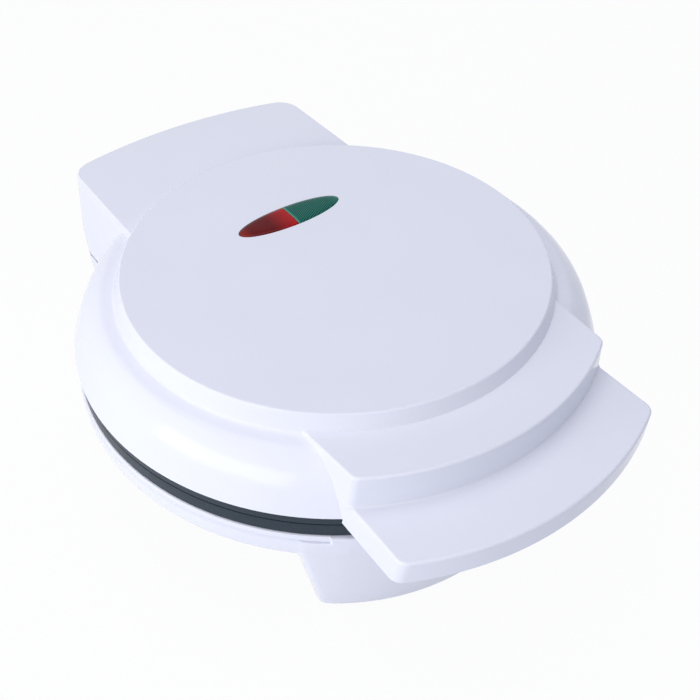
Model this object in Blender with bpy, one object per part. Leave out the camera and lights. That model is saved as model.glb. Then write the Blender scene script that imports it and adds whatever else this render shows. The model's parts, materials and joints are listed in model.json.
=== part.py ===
"""Round waffle maker: a tray on two legs, two waffle plates and a lid hinged at the back.

Built in metres, +Z up. The handle points to -Y and the hinge is at +Y. The table is z = 0.
"""
import math

import bmesh
import bpy
from mathutils import Matrix, Vector

MM = 0.001

# Fits
FIT = 0.3 * MM
OVERRUN = 2.0 * MM

# Heights, stacked from the table up
FOOT_PROUD = 1.5 * MM
LEG_HEIGHT = 59.7 * MM
LOWER_FLANGE = 5.7 * MM
SPLIT_GAP = 0.4 * MM
UPPER_FLANGE = 3.6 * MM

# Round body. The lid's rim drives the other radii and how far the steps and the housing reach
LID_RIM_R = 107.0 * MM
RIM_STEP_IN = 0.9 * MM
SHOULDER_OUT = 18.0 * MM
DISC_STEP = 6.1 * MM
DISC_STEP_OUT = 4.0 * MM
DISC_EDGE = 1.4 * MM
LID_WALL = 2.5 * MM
BASE_WALL = 2.4 * MM
TURN_STEPS = 48

# Shoulder of the lid, from the step's foot to the rim: shares of the way out and of the way down
SHOULDER_SHARES = (
    (0.156, 0.032), (0.317, 0.110), (0.517, 0.265), (0.661, 0.400),
    (0.780, 0.560), (0.872, 0.735), (0.950, 0.886),
)

# Where the middle of a rounded edge lies between the two faces, as a share of its radius
EDGE_ROUND_SHARE = 0.3

# How far from a corner an end's arc stops, as a share of the corner's radius
CORNER_ROOM_SHARE = 1.3

# Tongue and handle, the two front steps
TONGUE_DROP = 6.35 * MM
TONGUE_OUT = 1.1 * MM
TONGUE_HALF = 57.2 * MM
TONGUE_CORNER = 3.0 * MM
HANDLE_BELOW_RIM = 2.0 * MM
HANDLE_THICK = 10.2 * MM
HANDLE_OUT = 26.0 * MM
HANDLE_ARC_AHEAD = 6.8 * MM
HANDLE_WIDER = 1.5 * MM
HANDLE_CORNER = 5.0 * MM
HANDLE_DRAFT = 0.8 * MM
STEP_EDGE = 1.6 * MM

# Inside of the handle: the cover plate, its ledge and its two screw posts
HANDLE_COVER_T = 2.0 * MM
HANDLE_LEDGE = 1.3 * MM
HANDLE_POST_INSET = 20.7 * MM
HANDLE_POST_R = 3.4 * MM
HANDLE_SCREW_GRIP = 4.5 * MM

# Hinge housing at the back: its upper half is part of the lid, its lower half part of the base
HOUSING_DROP = 4.9 * MM
HOUSING_OUT = 28.0 * MM
HOUSING_ARC_R = 204.7 * MM
HOUSING_HALF = 57.0 * MM
HOUSING_CORNER = 12.0 * MM
HOUSING_DRAFT = 2.0 * MM
HOUSING_EDGE = 2.0 * MM
SKIRT_CLEARANCE = 1.5 * MM
LEAD_WINDOW_HALF = 20.0 * MM
PARTING_DROP = 9.0 * MM
PARTING_GAP = 0.8 * MM

# Hinge: barrels behind the housing, at the parting
HINGE_BARREL_R = 4.5 * MM
HINGE_BORE_R = 2.3 * MM
HINGE_OUT = 1.0 * MM
HINGE_HALF = 34.0 * MM
HINGE_LID_HALF = 14.0 * MM

# Rear leg, below the housing
HOUSING_LIP = 1.4 * MM
REAR_LEG_DRAFT = 3.6 * MM
REAR_LEG_DEPTH = 57.0 * MM
REAR_POCKET_TOP = 15.0 * MM
LEG_FLOOR = 4.0 * MM

# Front leg
FRONT_LEG_FOOT_HALF = 60.5 * MM
FRONT_LEG_SPREAD = 11.5 * MM
FRONT_LEG_PROUD = 0.5 * MM
FRONT_LEG_LEAN = 10.0 * MM
FRONT_LEG_SIDE = 20.4 * MM
FRONT_LEG_FOOT_SIDE = 9.8 * MM
FRONT_LEG_CORNER = 5.0 * MM
FRONT_POCKET_TOP = 13.0 * MM

# Front leg's sections: shares of the way down, and of the foot edge's inset there
FRONT_LEG_SHARES = ((1.0, 1.0), (0.97, 0.2), (0.0, 0.0))

# Bowl of the base, with shares of the way in from the rim and of the way down
BOWL_ROOM = 4.4 * MM
BOWL_SLOPE = 44.1 * MM
RIM_LIP = 2.6 * MM
RIM_LIP_OUT = 1.0 * MM
RIM_BELLY = 1.3 * MM
BOWL_SHARES = ((0.97, 0.430), (0.86, 0.615), (0.69, 0.770), (0.45, 0.905), (0.22, 0.975))

# Waffle plates: cavity depth, pegs, and the ridge that divides the waffle in four
PLATE_INSET = 0.8 * MM
FLANGE_WIDTH = 9.8 * MM
FLANGE_EDGE = 0.5 * MM
CAVITY_DRAFT = 2.5 * MM
CAVITY_DEPTH = 9.0 * MM
PLATE_T = 2.5 * MM
PEG_PITCH = 19.0 * MM
PEG_HEIGHT = 6.0 * MM
PEG_FOOT = 12.5 * MM
PEG_TOP = 9.0 * MM
RIDGE_FOOT = 5.0 * MM
RIDGE_TOP = 3.0 * MM

# Screws: plate screws go through each flange into a boss of the housing
SCREW_ANGLE = math.radians(30)
SCREW_R = 1.5 * MM
SCREW_HEAD_R = 2.6 * MM
SCREW_HEAD_H = 1.4 * MM
SCREW_GRIP = 3.8 * MM
SCREW_STEPS = 8
HEAD_FLAT_SHARE = 0.6
TIP_SHARE = 0.5
BOSS_IN_WALL = 0.8 * MM
BOSS_END = 1.4 * MM
BASE_BOSS_HEIGHT = 11.0 * MM

# Heating elements and the pans behind them
HEATER_INSET = 33.5 * MM
HEATER_TUBE_R = 3.2 * MM
HEATER_END_X = 10.0 * MM
HEATER_BEND = 8.0 * MM
HEATER_END_ROOM = 2.0 * MM
PAN_INSET = 11.5 * MM
PAN_T = 0.6 * MM
PAN_LIP = 3.0 * MM
PAN_HOLE_R = 6.0 * MM
PAN_HOLE_FIT = 1.2 * MM
PAN_STEPS = 32

# Lenses and lamps
LENS_HALF_LENGTH = 24.3 * MM
LENS_HALF_WIDTH = 6.7 * MM
LENS_Y = 34.0 * MM
LENS_GAP = 0.3 * MM
LENS_CROWN = 0.8 * MM
LENS_FLANGE = 1.5 * MM
LENS_FLANGE_T = 1.5 * MM
LENS_CROWN_SHARES = ((0.93, 0.55), (0.66, 0.90), (0.30, 1.00))
HOLDER_HEADROOM = 1.5 * MM
HOLDER_DEPTH = 7.0 * MM
HOLDER_WALL = 1.5 * MM
HOLDER_TAB = 9.0 * MM
HOLDER_TAB_RISE = 2.6 * MM
HOLDER_POST_R = 3.0 * MM
HOLDER_SCREW_R = 1.3 * MM
HOLDER_SCREW_LENGTH = 5.0 * MM
LAMP_R = 2.3 * MM
LAMP_START = 5.25 * MM
LAMP_LENGTH = 15.0 * MM

# Feet, cord ring, thermostat, fuse and terminals
FOOT_R = 6.5 * MM
FOOT_SOCKET = 2.0 * MM
FOOT_FRONT_IN = 16.5 * MM
FOOT_FRONT_EDGE = 1.9 * MM
FOOT_REAR_IN = 17.0 * MM
FOOT_REAR_EDGE = 16.5 * MM
FOOT_STEPS = 16
BUSH_R = 6.5 * MM
BUSH_BORE_R = 3.6 * MM
BUSH_FLANGE_R = 8.5 * MM
BUSH_FLANGE_T = 2.0 * MM
BUSH_PROUD = 1.0 * MM
BUSH_X = 30.0 * MM
BUSH_Z = 22.0 * MM
THERMOSTAT_R = 8.0 * MM
THERMOSTAT_H = 9.0 * MM
THERMOSTAT_Y = 30.0 * MM
THERMOSTAT_WAIST_SHARE = 0.8
FUSE_R = 2.5 * MM
FUSE_LENGTH = 14.0 * MM
FUSE_GAP = 7.0 * MM
TERMINAL_LENGTH = 32.0 * MM
TERMINAL_WIDTH = 14.0 * MM
TERMINAL_HEIGHT = 12.0 * MM
TERMINAL_WELL_R = 2.2 * MM

# Radii and reaches that follow from the lid's rim
BASE_RIM_R = LID_RIM_R - RIM_STEP_IN
BELLY_R = BASE_RIM_R + RIM_BELLY
BOWL_FLOOR_R = BASE_RIM_R - BOWL_SLOPE
DISC_FOOT_R = LID_RIM_R - SHOULDER_OUT
DISC_R = DISC_FOOT_R - DISC_STEP_OUT
TONGUE_REACH = LID_RIM_R + TONGUE_OUT
HANDLE_REACH = LID_RIM_R + HANDLE_OUT
HANDLE_HALF = TONGUE_HALF + HANDLE_WIDER
HANDLE_ROOT_R = LID_RIM_R + LID_WALL
HOUSING_REACH = LID_RIM_R + HOUSING_OUT
SKIRT_R = LID_RIM_R + SKIRT_CLEARANCE
FRONT_LEG_TOP_R = BELLY_R + FRONT_LEG_PROUD
FRONT_LEG_FOOT_R = LID_RIM_R - FRONT_LEG_LEAN
REAR_LEG_ROOT = HOUSING_REACH - REAR_LEG_DEPTH
PLATE_R = BASE_RIM_R - PLATE_INSET
CAVITY_R = PLATE_R - FLANGE_WIDTH
BOSS_ROOM_R = CAVITY_R + PLATE_T + FIT
BOSS_R = (BASE_RIM_R - BASE_WALL + BOSS_IN_WALL - BOSS_ROOM_R) / 2
SCREW_CIRCLE_R = BOSS_ROOM_R + BOSS_R
HEATER_R = CAVITY_R - HEATER_INSET
PAN_R = CAVITY_R - PAN_INSET

# Depths of a plate's parts, measured from the split between the plates
FLOOR_DEPTH = SPLIT_GAP / 2 + CAVITY_DEPTH
BACK_DEPTH = FLOOR_DEPTH + PLATE_T
HEATER_DEPTH = BACK_DEPTH + FIT + HEATER_TUBE_R
PAN_DEPTH = HEATER_DEPTH + HEATER_TUBE_R + PAN_T

# Heights that follow from the stack. The lid is as high as the upper plate, its element and the lamps need
BASE_RIM_Z = FOOT_PROUD + LEG_HEIGHT
SPLIT_Z = BASE_RIM_Z + FIT + LOWER_FLANGE + SPLIT_GAP / 2
LID_RIM_Z = SPLIT_Z + SPLIT_GAP / 2 + UPPER_FLANGE + FIT
HOLDER_LOW_Z = SPLIT_Z + PAN_DEPTH + HOLDER_HEADROOM
HOLDER_TOP_Z = HOLDER_LOW_Z + HOLDER_DEPTH
HOLDER_TAB_Z = HOLDER_LOW_Z + HOLDER_TAB_RISE
LENS_FLANGE_Z = HOLDER_TOP_Z + FIT + LENS_FLANGE_T
DISC_TOP_Z = LENS_FLANGE_Z + FIT + LID_WALL
DISC_FOOT_Z = DISC_TOP_Z - DISC_STEP
TONGUE_Z = DISC_TOP_Z - TONGUE_DROP
HANDLE_LOW_Z = LID_RIM_Z - HANDLE_BELOW_RIM
HANDLE_Z = HANDLE_LOW_Z + HANDLE_THICK
HOUSING_Z = DISC_TOP_Z - HOUSING_DROP
PARTING_Z = BASE_RIM_Z - PARTING_DROP
LID_PARTING_Z = PARTING_Z + PARTING_GAP / 2
BASE_PARTING_Z = PARTING_Z - PARTING_GAP / 2
HEATER_RISE = DISC_TOP_Z - LID_WALL - HEATER_END_ROOM - HEATER_DEPTH - SPLIT_Z
BOWL_FLOOR_Z = SPLIT_Z - HEATER_DEPTH - HEATER_RISE - BOWL_ROOM - BASE_WALL
BOWL_DEPTH = BASE_RIM_Z - BOWL_FLOOR_Z

# Hinge axis, and the middle of the whole length, where the world's origin is
HINGE_Y = HOUSING_REACH + HOUSING_DRAFT + HINGE_OUT
HINGE_Z = PARTING_Z
PLATE_AXIS_Y = (HANDLE_REACH + HANDLE_DRAFT - HINGE_Y - HINGE_BARREL_R) / 2

MERGE = 0.0001 * MM
SHARP_ANGLE = math.radians(32)
FULL_TURN = 2 * math.pi
ARC_STEPS = 10
CORNER_STEPS = 3
HINGE_STEPS = 16
BORE_STEPS = 12
BOSS_STEPS = 10


def clear_scene():
    for item in list(bpy.data.objects):
        bpy.data.objects.remove(item)


def add_empty(name, location, parent=None):
    empty = bpy.data.objects.new(name, None)
    bpy.context.scene.collection.objects.link(empty)
    empty.empty_display_size = FOOT_PROUD
    empty.parent = parent
    empty.location = location
    return empty


def add_material(name, colour, roughness, metallic=0.0):
    material = bpy.data.materials.new(name)
    material.use_nodes = True
    shader = material.node_tree.nodes["Principled BSDF"]
    shader.inputs["Base Color"].default_value = (*colour, 1.0)
    shader.inputs["Roughness"].default_value = roughness
    shader.inputs["Metallic"].default_value = metallic
    material.diffuse_color = (*colour, 1.0)
    return material


def add_piece(name, shape, body, material):
    """Make an object of a bmesh, carried by a body's empty with its mesh kept in plate coordinates."""
    bmesh.ops.remove_doubles(shape, verts=shape.verts, dist=MERGE)
    bmesh.ops.recalc_face_normals(shape, faces=shape.faces)
    mesh = bpy.data.meshes.new(name)
    shape.to_mesh(mesh)
    shape.free()
    mesh.shade_smooth()
    mesh.set_sharp_from_angle(angle=SHARP_ANGLE)
    mesh.materials.append(material)
    piece = bpy.data.objects.new(name, mesh)
    bpy.context.scene.collection.objects.link(piece)
    ride_on(piece, body)
    return piece


def ride_on(piece, body):
    piece.parent = body
    if body.parent:
        piece.location = -body.location
    else:
        piece.location = (0, 0, 0)


def boolean(piece, tool_shape, operation, tool_name):
    """Cut a bmesh out of a piece, or weld it on. The tool stays in the scene as a hidden guide."""
    tool = add_piece(tool_name, tool_shape, piece.parent, piece.data.materials[0])
    tool.hide_render = True
    tool.display_type = "WIRE"
    step = piece.modifiers.new(tool_name, "BOOLEAN")
    step.operation = operation
    step.solver = "EXACT"
    step.object = tool
    return tool


def cut(piece, tool_shape, tool_name):
    return boolean(piece, tool_shape, "DIFFERENCE", tool_name)


def weld(piece, tool_shape, tool_name):
    return boolean(piece, tool_shape, "UNION", tool_name)


def turned(profile, steps=TURN_STEPS):
    """Turn a profile of (radius, height) points about the plate axis.

    A profile that starts and ends on the axis makes a solid with a flat face at each end.
    """
    solid = profile[0][0] == 0 and profile[-1][0] == 0
    walls = profile[1:-1] if solid else profile
    shape = bmesh.new()
    verts = [shape.verts.new((radius, 0, height)) for radius, height in walls]
    edges = [shape.edges.new(pair) for pair in zip(verts, verts[1:])]
    if not solid:
        edges.append(shape.edges.new((verts[-1], verts[0])))
    bmesh.ops.spin(
        shape, geom=verts + edges, cent=(0, 0, 0), axis=(0, 0, 1),
        angle=FULL_TURN, steps=steps, use_merge=True,
    )
    bmesh.ops.holes_fill(shape, edges=[edge for edge in shape.edges if edge.is_boundary], sides=steps)
    return shape


def lofted(sections):
    """Skin a stack of (outline, height) sections that have the same number of points."""
    shape = bmesh.new()
    rings = []
    for outline, height in sections:
        rings.append([shape.verts.new((x, y, height)) for x, y in outline])
    shape.faces.new(rings[0])
    shape.faces.new(rings[-1])
    for low, high in zip(rings, rings[1:]):
        for corner in range(len(low)):
            follow = (corner + 1) % len(low)
            shape.faces.new((low[corner], low[follow], high[follow], high[corner]))
    return shape


def rod(radius, start, end, steps, end_radius=None):
    """A round bar, or a cone, from one point to another."""
    start = Vector(start)
    axis = Vector(end) - start
    turn = axis.to_track_quat("Z", "Y").to_matrix().to_4x4()
    place = Matrix.Translation(start + axis / 2) @ turn
    shape = bmesh.new()
    bmesh.ops.create_cone(
        shape, cap_ends=True, segments=steps, radius1=radius,
        radius2=radius if end_radius is None else end_radius, depth=axis.length, matrix=place,
    )
    return shape


def block(low, high):
    """A box between two corners."""
    low = Vector(low)
    size = Vector(high) - low
    place = Matrix.Translation(low + size / 2) @ Matrix.Diagonal((*size, 1))
    shape = bmesh.new()
    bmesh.ops.create_cube(shape, size=1, matrix=place)
    return shape


def gathered(shapes):
    """Put separate shapes in one bmesh."""
    total = bmesh.new()
    for shape in shapes:
        mesh = bpy.data.meshes.new("gathered")
        shape.to_mesh(mesh)
        total.from_mesh(mesh)
        shape.free()
        bpy.data.meshes.remove(mesh)
    return total


def rounded_corner(before, corner, after, radius, steps):
    """The points of a fillet between two straight runs that meet at a corner."""
    first = (before - corner).normalized()
    second = (after - corner).normalized()
    half = first.angle(second) / 2
    centre = corner + (first + second).normalized() * (radius / math.sin(half))
    start = corner + first * (radius / math.tan(half)) - centre
    end = corner + second * (radius / math.tan(half)) - centre
    sweep = start.angle_signed(end)
    return [centre + Matrix.Rotation(-sweep * step / steps, 2) @ start for step in range(steps + 1)]


def end_outline(half, reach, arc_r, corner, root, facing, root_arc_r=None):
    """Outline of a step or a housing: straight sides, a curved end and rounded corners.

    The end faces -Y or +Y and its root is a straight line or an arc round the plate axis.
    """
    centre = reach - arc_r

    def on_arc(x):
        return Vector((x, centre + math.sqrt(arc_r ** 2 - x ** 2)))

    arc_half = half - CORNER_ROOM_SHARE * corner
    arc = [on_arc(arc_half * (2 * step / ARC_STEPS - 1)) for step in range(ARC_STEPS + 1)]
    side = root if root_arc_r is None else math.sqrt(root_arc_r ** 2 - half ** 2)
    left, right = Vector((-half, side)), Vector((half, side))
    points = rounded_corner(left, on_arc(-half), arc[0], corner, CORNER_STEPS)
    points += arc
    points += rounded_corner(arc[-1], on_arc(half), right, corner, CORNER_STEPS)
    points.append(right)
    if root_arc_r is not None:
        for step in range(1, ARC_STEPS):
            x = half * (1 - 2 * step / ARC_STEPS)
            points.append(Vector((x, math.sqrt(root_arc_r ** 2 - x ** 2))))
    points.append(left)
    return [(point.x, facing * point.y) for point in points]


def inset_profile(profile, depth):
    """Move a turned profile inwards by a wall's thickness. It runs from the axis outwards and down."""
    points = [Vector(point) for point in profile]
    moved = []
    for index, point in enumerate(points):
        runs = []
        if index > 0:
            runs.append((point - points[index - 1]).normalized())
        if index < len(points) - 1:
            runs.append((points[index + 1] - point).normalized())
        normals = [Vector((run.y, -run.x)) for run in runs]
        normal = sum(normals, Vector((0, 0))).normalized()
        moved.append(point + normal * (depth / normal.dot(normals[0])))
    return moved


def shoulder_points():
    drop = DISC_FOOT_Z - LID_RIM_Z
    out = LID_RIM_R - DISC_FOOT_R
    return [(DISC_FOOT_R + across * out, DISC_FOOT_Z - down * drop) for across, down in SHOULDER_SHARES]


def lid_profile():
    """The lid's outer profile, from the middle of the disc to the rim."""
    round_in = EDGE_ROUND_SHARE * DISC_EDGE
    points = [(0, DISC_TOP_Z), (DISC_R - DISC_EDGE, DISC_TOP_Z)]
    points.append((DISC_R - round_in, DISC_TOP_Z - round_in))
    points.append((DISC_R + round_in, DISC_TOP_Z - DISC_EDGE))
    points.append((DISC_FOOT_R, DISC_FOOT_Z))
    points += shoulder_points()
    points.append((LID_RIM_R, LID_RIM_Z))
    return points


def step_sections(outline, low, high, edge, draft=0.0):
    """Sections of a moulded block whose walls draw in towards the top and whose top edge is rounded."""
    round_in = EDGE_ROUND_SHARE * edge
    return [
        (outline(-draft), low),
        (outline(0.0), high - edge),
        (outline(round_in), high - round_in),
        (outline(edge), high),
    ]


def tongue_outline(inset):
    return end_outline(
        TONGUE_HALF - inset, TONGUE_REACH - inset, TONGUE_REACH - inset, TONGUE_CORNER, DISC_R / 2, -1,
    )


def handle_outline(inset, root_arc_r=None):
    reach = HANDLE_REACH - inset
    return end_outline(
        HANDLE_HALF - inset, reach, reach - HANDLE_ARC_AHEAD, HANDLE_CORNER - min(inset, STEP_EDGE),
        DISC_R / 2, -1, root_arc_r,
    )


def handle_post_places():
    """The two posts of the handle cover's screws, midway between the lid's wall and the handle's front."""
    x = HANDLE_HALF - HANDLE_POST_INSET
    back = math.sqrt(HANDLE_ROOT_R ** 2 - x ** 2)
    front = HANDLE_ARC_AHEAD + math.sqrt((HANDLE_REACH - HANDLE_ARC_AHEAD) ** 2 - x ** 2) - LID_WALL
    return [(side * x, -(back + front) / 2) for side in (-1, 1)]


def housing_outline(inset, root=DISC_R / 2, root_arc_r=None):
    return end_outline(
        HOUSING_HALF - inset, HOUSING_REACH - inset, HOUSING_ARC_R - inset, HOUSING_CORNER - inset,
        root, 1, root_arc_r,
    )


def plate_screw_places(radius):
    """The four places of the plate screws, on a circle round the plate axis."""
    places = []
    for side in (-1, 1):
        for end in (-1, 1):
            places.append((side * radius * math.cos(SCREW_ANGLE), end * radius * math.sin(SCREW_ANGLE)))
    return places


# Lid cover: one moulding with the disc, shoulder, tongue, handle and the upper hinge housing
POST_BORE_R = SCREW_R + FIT
HOLDER_POST_X = LENS_HALF_LENGTH + LENS_FLANGE + HOLDER_WALL + HOLDER_TAB / 2


def ellipse_outline(half_length, half_width, steps=24):
    turns = [FULL_TURN * step / steps for step in range(steps)]
    return [(half_length * math.cos(turn), LENS_Y + half_width * math.sin(turn)) for turn in turns]


def hinge_rod(radius, start_x, end_x):
    """A round bar on the hinge's axis."""
    return rod(radius, (start_x, HINGE_Y, HINGE_Z), (end_x, HINGE_Y, HINGE_Z), HINGE_STEPS)


def hinge_bore():
    half = HINGE_HALF + OVERRUN
    return rod(HINGE_BORE_R, (-half, HINGE_Y, HINGE_Z), (half, HINGE_Y, HINGE_Z), BORE_STEPS)


def build_lid_cover(body, plastic):
    cover = add_piece("lid_cover", turned(lid_profile() + [(0, LID_RIM_Z)]), body, plastic)

    tongue = step_sections(tongue_outline, HANDLE_Z - OVERRUN, TONGUE_Z, STEP_EDGE, HANDLE_DRAFT)
    weld(cover, lofted(tongue), "tongue")

    handle = step_sections(handle_outline, HANDLE_LOW_Z, HANDLE_Z, STEP_EDGE, HANDLE_DRAFT)
    handle_tool = weld(cover, lofted(handle), "handle")
    cut(handle_tool, turned([
        (0, LID_RIM_Z + FIT), (LID_RIM_R + FIT, LID_RIM_Z + FIT),
        (LID_RIM_R + FIT, HANDLE_LOW_Z - OVERRUN), (0, HANDLE_LOW_Z - OVERRUN),
    ]), "handle_root_room")

    housing = step_sections(housing_outline, LID_PARTING_Z, HOUSING_Z, HOUSING_EDGE, HOUSING_DRAFT)
    housing_tool = weld(cover, lofted(housing), "housing")
    cut(housing_tool, turned([
        (0, LID_RIM_Z + FIT), (SKIRT_R, LID_RIM_Z + FIT),
        (SKIRT_R, LID_PARTING_Z - OVERRUN), (0, LID_PARTING_Z - OVERRUN),
    ]), "skirt_room")

    corner_profile = [(0, DISC_TOP_Z), (DISC_R, DISC_TOP_Z), (DISC_FOOT_R, DISC_FOOT_Z)]
    corner_profile += shoulder_points()[1::2]
    corner_profile.append((LID_RIM_R, LID_RIM_Z))
    hollow = [tuple(point) for point in inset_profile(corner_profile, LID_WALL)]
    hollow += [(hollow[-1][0], LID_RIM_Z - OVERRUN), (0, LID_RIM_Z - OVERRUN)]
    cut(cover, turned(hollow), "lid_hollow")

    tongue_hollow = step_sections(
        lambda inset: tongue_outline(LID_WALL + inset), HANDLE_Z, TONGUE_Z - LID_WALL, STEP_EDGE,
    )
    cut(cover, lofted(tongue_hollow), "tongue_hollow")

    cut(cover, lofted([
        (handle_outline(LID_WALL, HANDLE_ROOT_R), HANDLE_LOW_Z - OVERRUN),
        (handle_outline(LID_WALL, HANDLE_ROOT_R), HANDLE_Z - LID_WALL),
    ]), "handle_hollow")
    rebate_r = HANDLE_ROOT_R - FIT
    cut(cover, lofted([
        (handle_outline(HANDLE_LEDGE, rebate_r), HANDLE_LOW_Z - OVERRUN),
        (handle_outline(HANDLE_LEDGE, rebate_r), HANDLE_LOW_Z + HANDLE_COVER_T + FIT),
    ]), "handle_rebate")
    posts = []
    post_bores = []
    for x, y in handle_post_places():
        top = HANDLE_Z - LID_WALL / 2
        low = HANDLE_LOW_Z + HANDLE_COVER_T + FIT
        posts.append(rod(HANDLE_POST_R, (x, y, low), (x, y, top), BOSS_STEPS))
        post_bores.append(rod(POST_BORE_R, (x, y, low - OVERRUN), (x, y, top - LID_WALL / 2), BOSS_STEPS))
    weld(cover, gathered(posts), "handle_posts")
    cut(cover, gathered(post_bores), "handle_post_bores")

    housing_hollow = cut(cover, lofted(step_sections(
        lambda inset: housing_outline(LID_WALL + inset), LID_PARTING_Z - OVERRUN, HOUSING_Z - LID_WALL,
        HOUSING_EDGE, HOUSING_DRAFT,
    )), "housing_hollow")
    cut(housing_hollow, turned([
        (0, DISC_TOP_Z), (SKIRT_R + LID_WALL, DISC_TOP_Z),
        (SKIRT_R + LID_WALL, LID_PARTING_Z - 2 * OVERRUN), (0, LID_PARTING_Z - 2 * OVERRUN),
    ]), "housing_front_wall")

    window_low = LID_RIM_Z + UPPER_FLANGE + LID_WALL
    cut(cover, block(
        (-LEAD_WINDOW_HALF, DISC_R, window_low),
        (LEAD_WINDOW_HALF, SKIRT_R + LID_WALL + OVERRUN, HOUSING_Z - LID_WALL - HOUSING_EDGE),
    ), "lead_window")

    bosses = []
    bores = []
    for x, y in plate_screw_places(SCREW_CIRCLE_R):
        bore_top = LID_RIM_Z + SCREW_GRIP + 2 * FIT
        bosses.append(rod(BOSS_R, (x, y, LID_RIM_Z), (x, y, bore_top + BOSS_END), BOSS_STEPS))
        bores.append(rod(POST_BORE_R, (x, y, LID_RIM_Z - OVERRUN), (x, y, bore_top), BOSS_STEPS))
    weld(cover, gathered(bosses), "plate_bosses")
    cut(cover, gathered(bores), "plate_boss_bores")

    holder_posts = []
    holder_bores = []
    for side in (-1, 1):
        x = side * HOLDER_POST_X
        low = HOLDER_TAB_Z + HOLDER_WALL + FIT
        top = DISC_TOP_Z - LID_WALL / 2
        holder_posts.append(rod(HOLDER_POST_R, (x, LENS_Y, low), (x, LENS_Y, top), BOSS_STEPS))
        holder_bores.append(rod(HOLDER_SCREW_R + FIT, (x, LENS_Y, low - OVERRUN),
                                (x, LENS_Y, top - LID_WALL), BOSS_STEPS))
    weld(cover, gathered(holder_posts), "lamp_holder_posts")
    cut(cover, gathered(holder_bores), "lamp_holder_bores")

    lens_hole = ellipse_outline(LENS_HALF_LENGTH + FIT, LENS_HALF_WIDTH + FIT)
    cut(cover, lofted([
        (lens_hole, DISC_TOP_Z - LID_WALL - OVERRUN), (lens_hole, DISC_TOP_Z + OVERRUN),
    ]), "lens_hole")

    barrel_rooms = []
    for side in (-1, 1):
        barrel_rooms.append(hinge_rod(HINGE_BARREL_R + FIT, side * HINGE_LID_HALF, side * (HINGE_HALF + FIT)))
    cut(cover, gathered(barrel_rooms), "base_barrel_rooms")
    weld(cover, hinge_rod(HINGE_BARREL_R, -HINGE_LID_HALF, HINGE_LID_HALF), "lid_barrel")
    cut(cover, hinge_bore(), "lid_hinge_bore")
    return cover


def build_handle_cover(body, plastic):
    """The plate that closes the handle's hollow from below, with its two screws."""
    outline = handle_outline(HANDLE_LEDGE + FIT, HANDLE_ROOT_R)
    cover = add_piece("handle_cover", lofted([
        (outline, HANDLE_LOW_Z), (outline, HANDLE_LOW_Z + HANDLE_COVER_T),
    ]), body, plastic)
    holes = []
    for x, y in handle_post_places():
        holes.append(rod(POST_BORE_R, (x, y, HANDLE_LOW_Z - OVERRUN),
                         (x, y, HANDLE_LOW_Z + HANDLE_COVER_T + OVERRUN), BOSS_STEPS))
    cut(cover, gathered(holes), "handle_cover_holes")
    return cover


def screw_shape(place, facing, head_r, head_h, shank_r, length):
    """A pan head screw. Its seat is at the place given, and its shank runs along +Z or -Z from there."""
    x, y, seat = place
    shape = turned([
        (0, -head_h), (head_r * HEAD_FLAT_SHARE, -head_h), (head_r, -head_h * HEAD_FLAT_SHARE), (head_r, 0),
        (shank_r, 0), (shank_r, length - shank_r), (shank_r * TIP_SHARE, length), (0, length),
    ], SCREW_STEPS)
    bmesh.ops.scale(shape, vec=(1, 1, facing), verts=shape.verts)
    bmesh.ops.translate(shape, vec=(x, y, seat), verts=shape.verts)
    return shape


def build_lens(name, side, body, plastic):
    """Half of the twin lens: a crowned half ellipse with a flange that stops it from below."""
    steps = 12

    def half_outline(half_length, half_width):
        points = []
        for step in range(steps + 1):
            turn = math.pi * (step / steps - 0.5)
            x = side * (LENS_GAP / 2 + (half_length - LENS_GAP / 2) * math.cos(turn))
            points.append((x, LENS_Y + half_width * math.sin(turn)))
        return points

    flange = half_outline(LENS_HALF_LENGTH + LENS_FLANGE, LENS_HALF_WIDTH + LENS_FLANGE)
    face = half_outline(LENS_HALF_LENGTH, LENS_HALF_WIDTH)
    sections = [
        (flange, LENS_FLANGE_Z - LENS_FLANGE_T), (flange, LENS_FLANGE_Z),
        (face, LENS_FLANGE_Z), (face, DISC_TOP_Z),
    ]
    for across, up in LENS_CROWN_SHARES:
        sections.append((half_outline(LENS_HALF_LENGTH * across, LENS_HALF_WIDTH * across),
                         DISC_TOP_Z + LENS_CROWN * up))
    return add_piece(name, lofted(sections), body, plastic)


def build_lamp_holder(body, plastic):
    """The tray below the lenses: two chambers, one lamp in each, and a tab with a screw at each end."""
    half_length = LENS_HALF_LENGTH + LENS_FLANGE + HOLDER_WALL
    half_width = LENS_HALF_WIDTH + LENS_FLANGE
    tray = add_piece("lamp_holder", block(
        (-half_length, LENS_Y - half_width, HOLDER_LOW_Z), (half_length, LENS_Y + half_width, HOLDER_TOP_Z),
    ), body, plastic)
    tab_half = half_length + HOLDER_TAB
    tab_half_width = HOLDER_POST_R + HOLDER_WALL
    weld(tray, block(
        (-tab_half, LENS_Y - tab_half_width, HOLDER_TAB_Z),
        (tab_half, LENS_Y + tab_half_width, HOLDER_TAB_Z + HOLDER_WALL),
    ), "lamp_holder_tabs")
    rooms = []
    holes = []
    for side in (-1, 1):
        near, far = side * HOLDER_WALL / 2, side * (half_length - HOLDER_WALL)
        rooms.append(block(
            (min(near, far), LENS_Y - half_width + HOLDER_WALL, HOLDER_LOW_Z + HOLDER_WALL),
            (max(near, far), LENS_Y + half_width - HOLDER_WALL, HOLDER_TOP_Z + OVERRUN),
        ))
        x = side * HOLDER_POST_X
        holes.append(rod(HOLDER_SCREW_R + FIT, (x, LENS_Y, HOLDER_TAB_Z - OVERRUN),
                         (x, LENS_Y, HOLDER_TAB_Z + HOLDER_WALL + OVERRUN), BOSS_STEPS))
    cut(tray, gathered(rooms), "lamp_rooms")
    cut(tray, gathered(holes), "lamp_holder_holes")
    return tray


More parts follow.
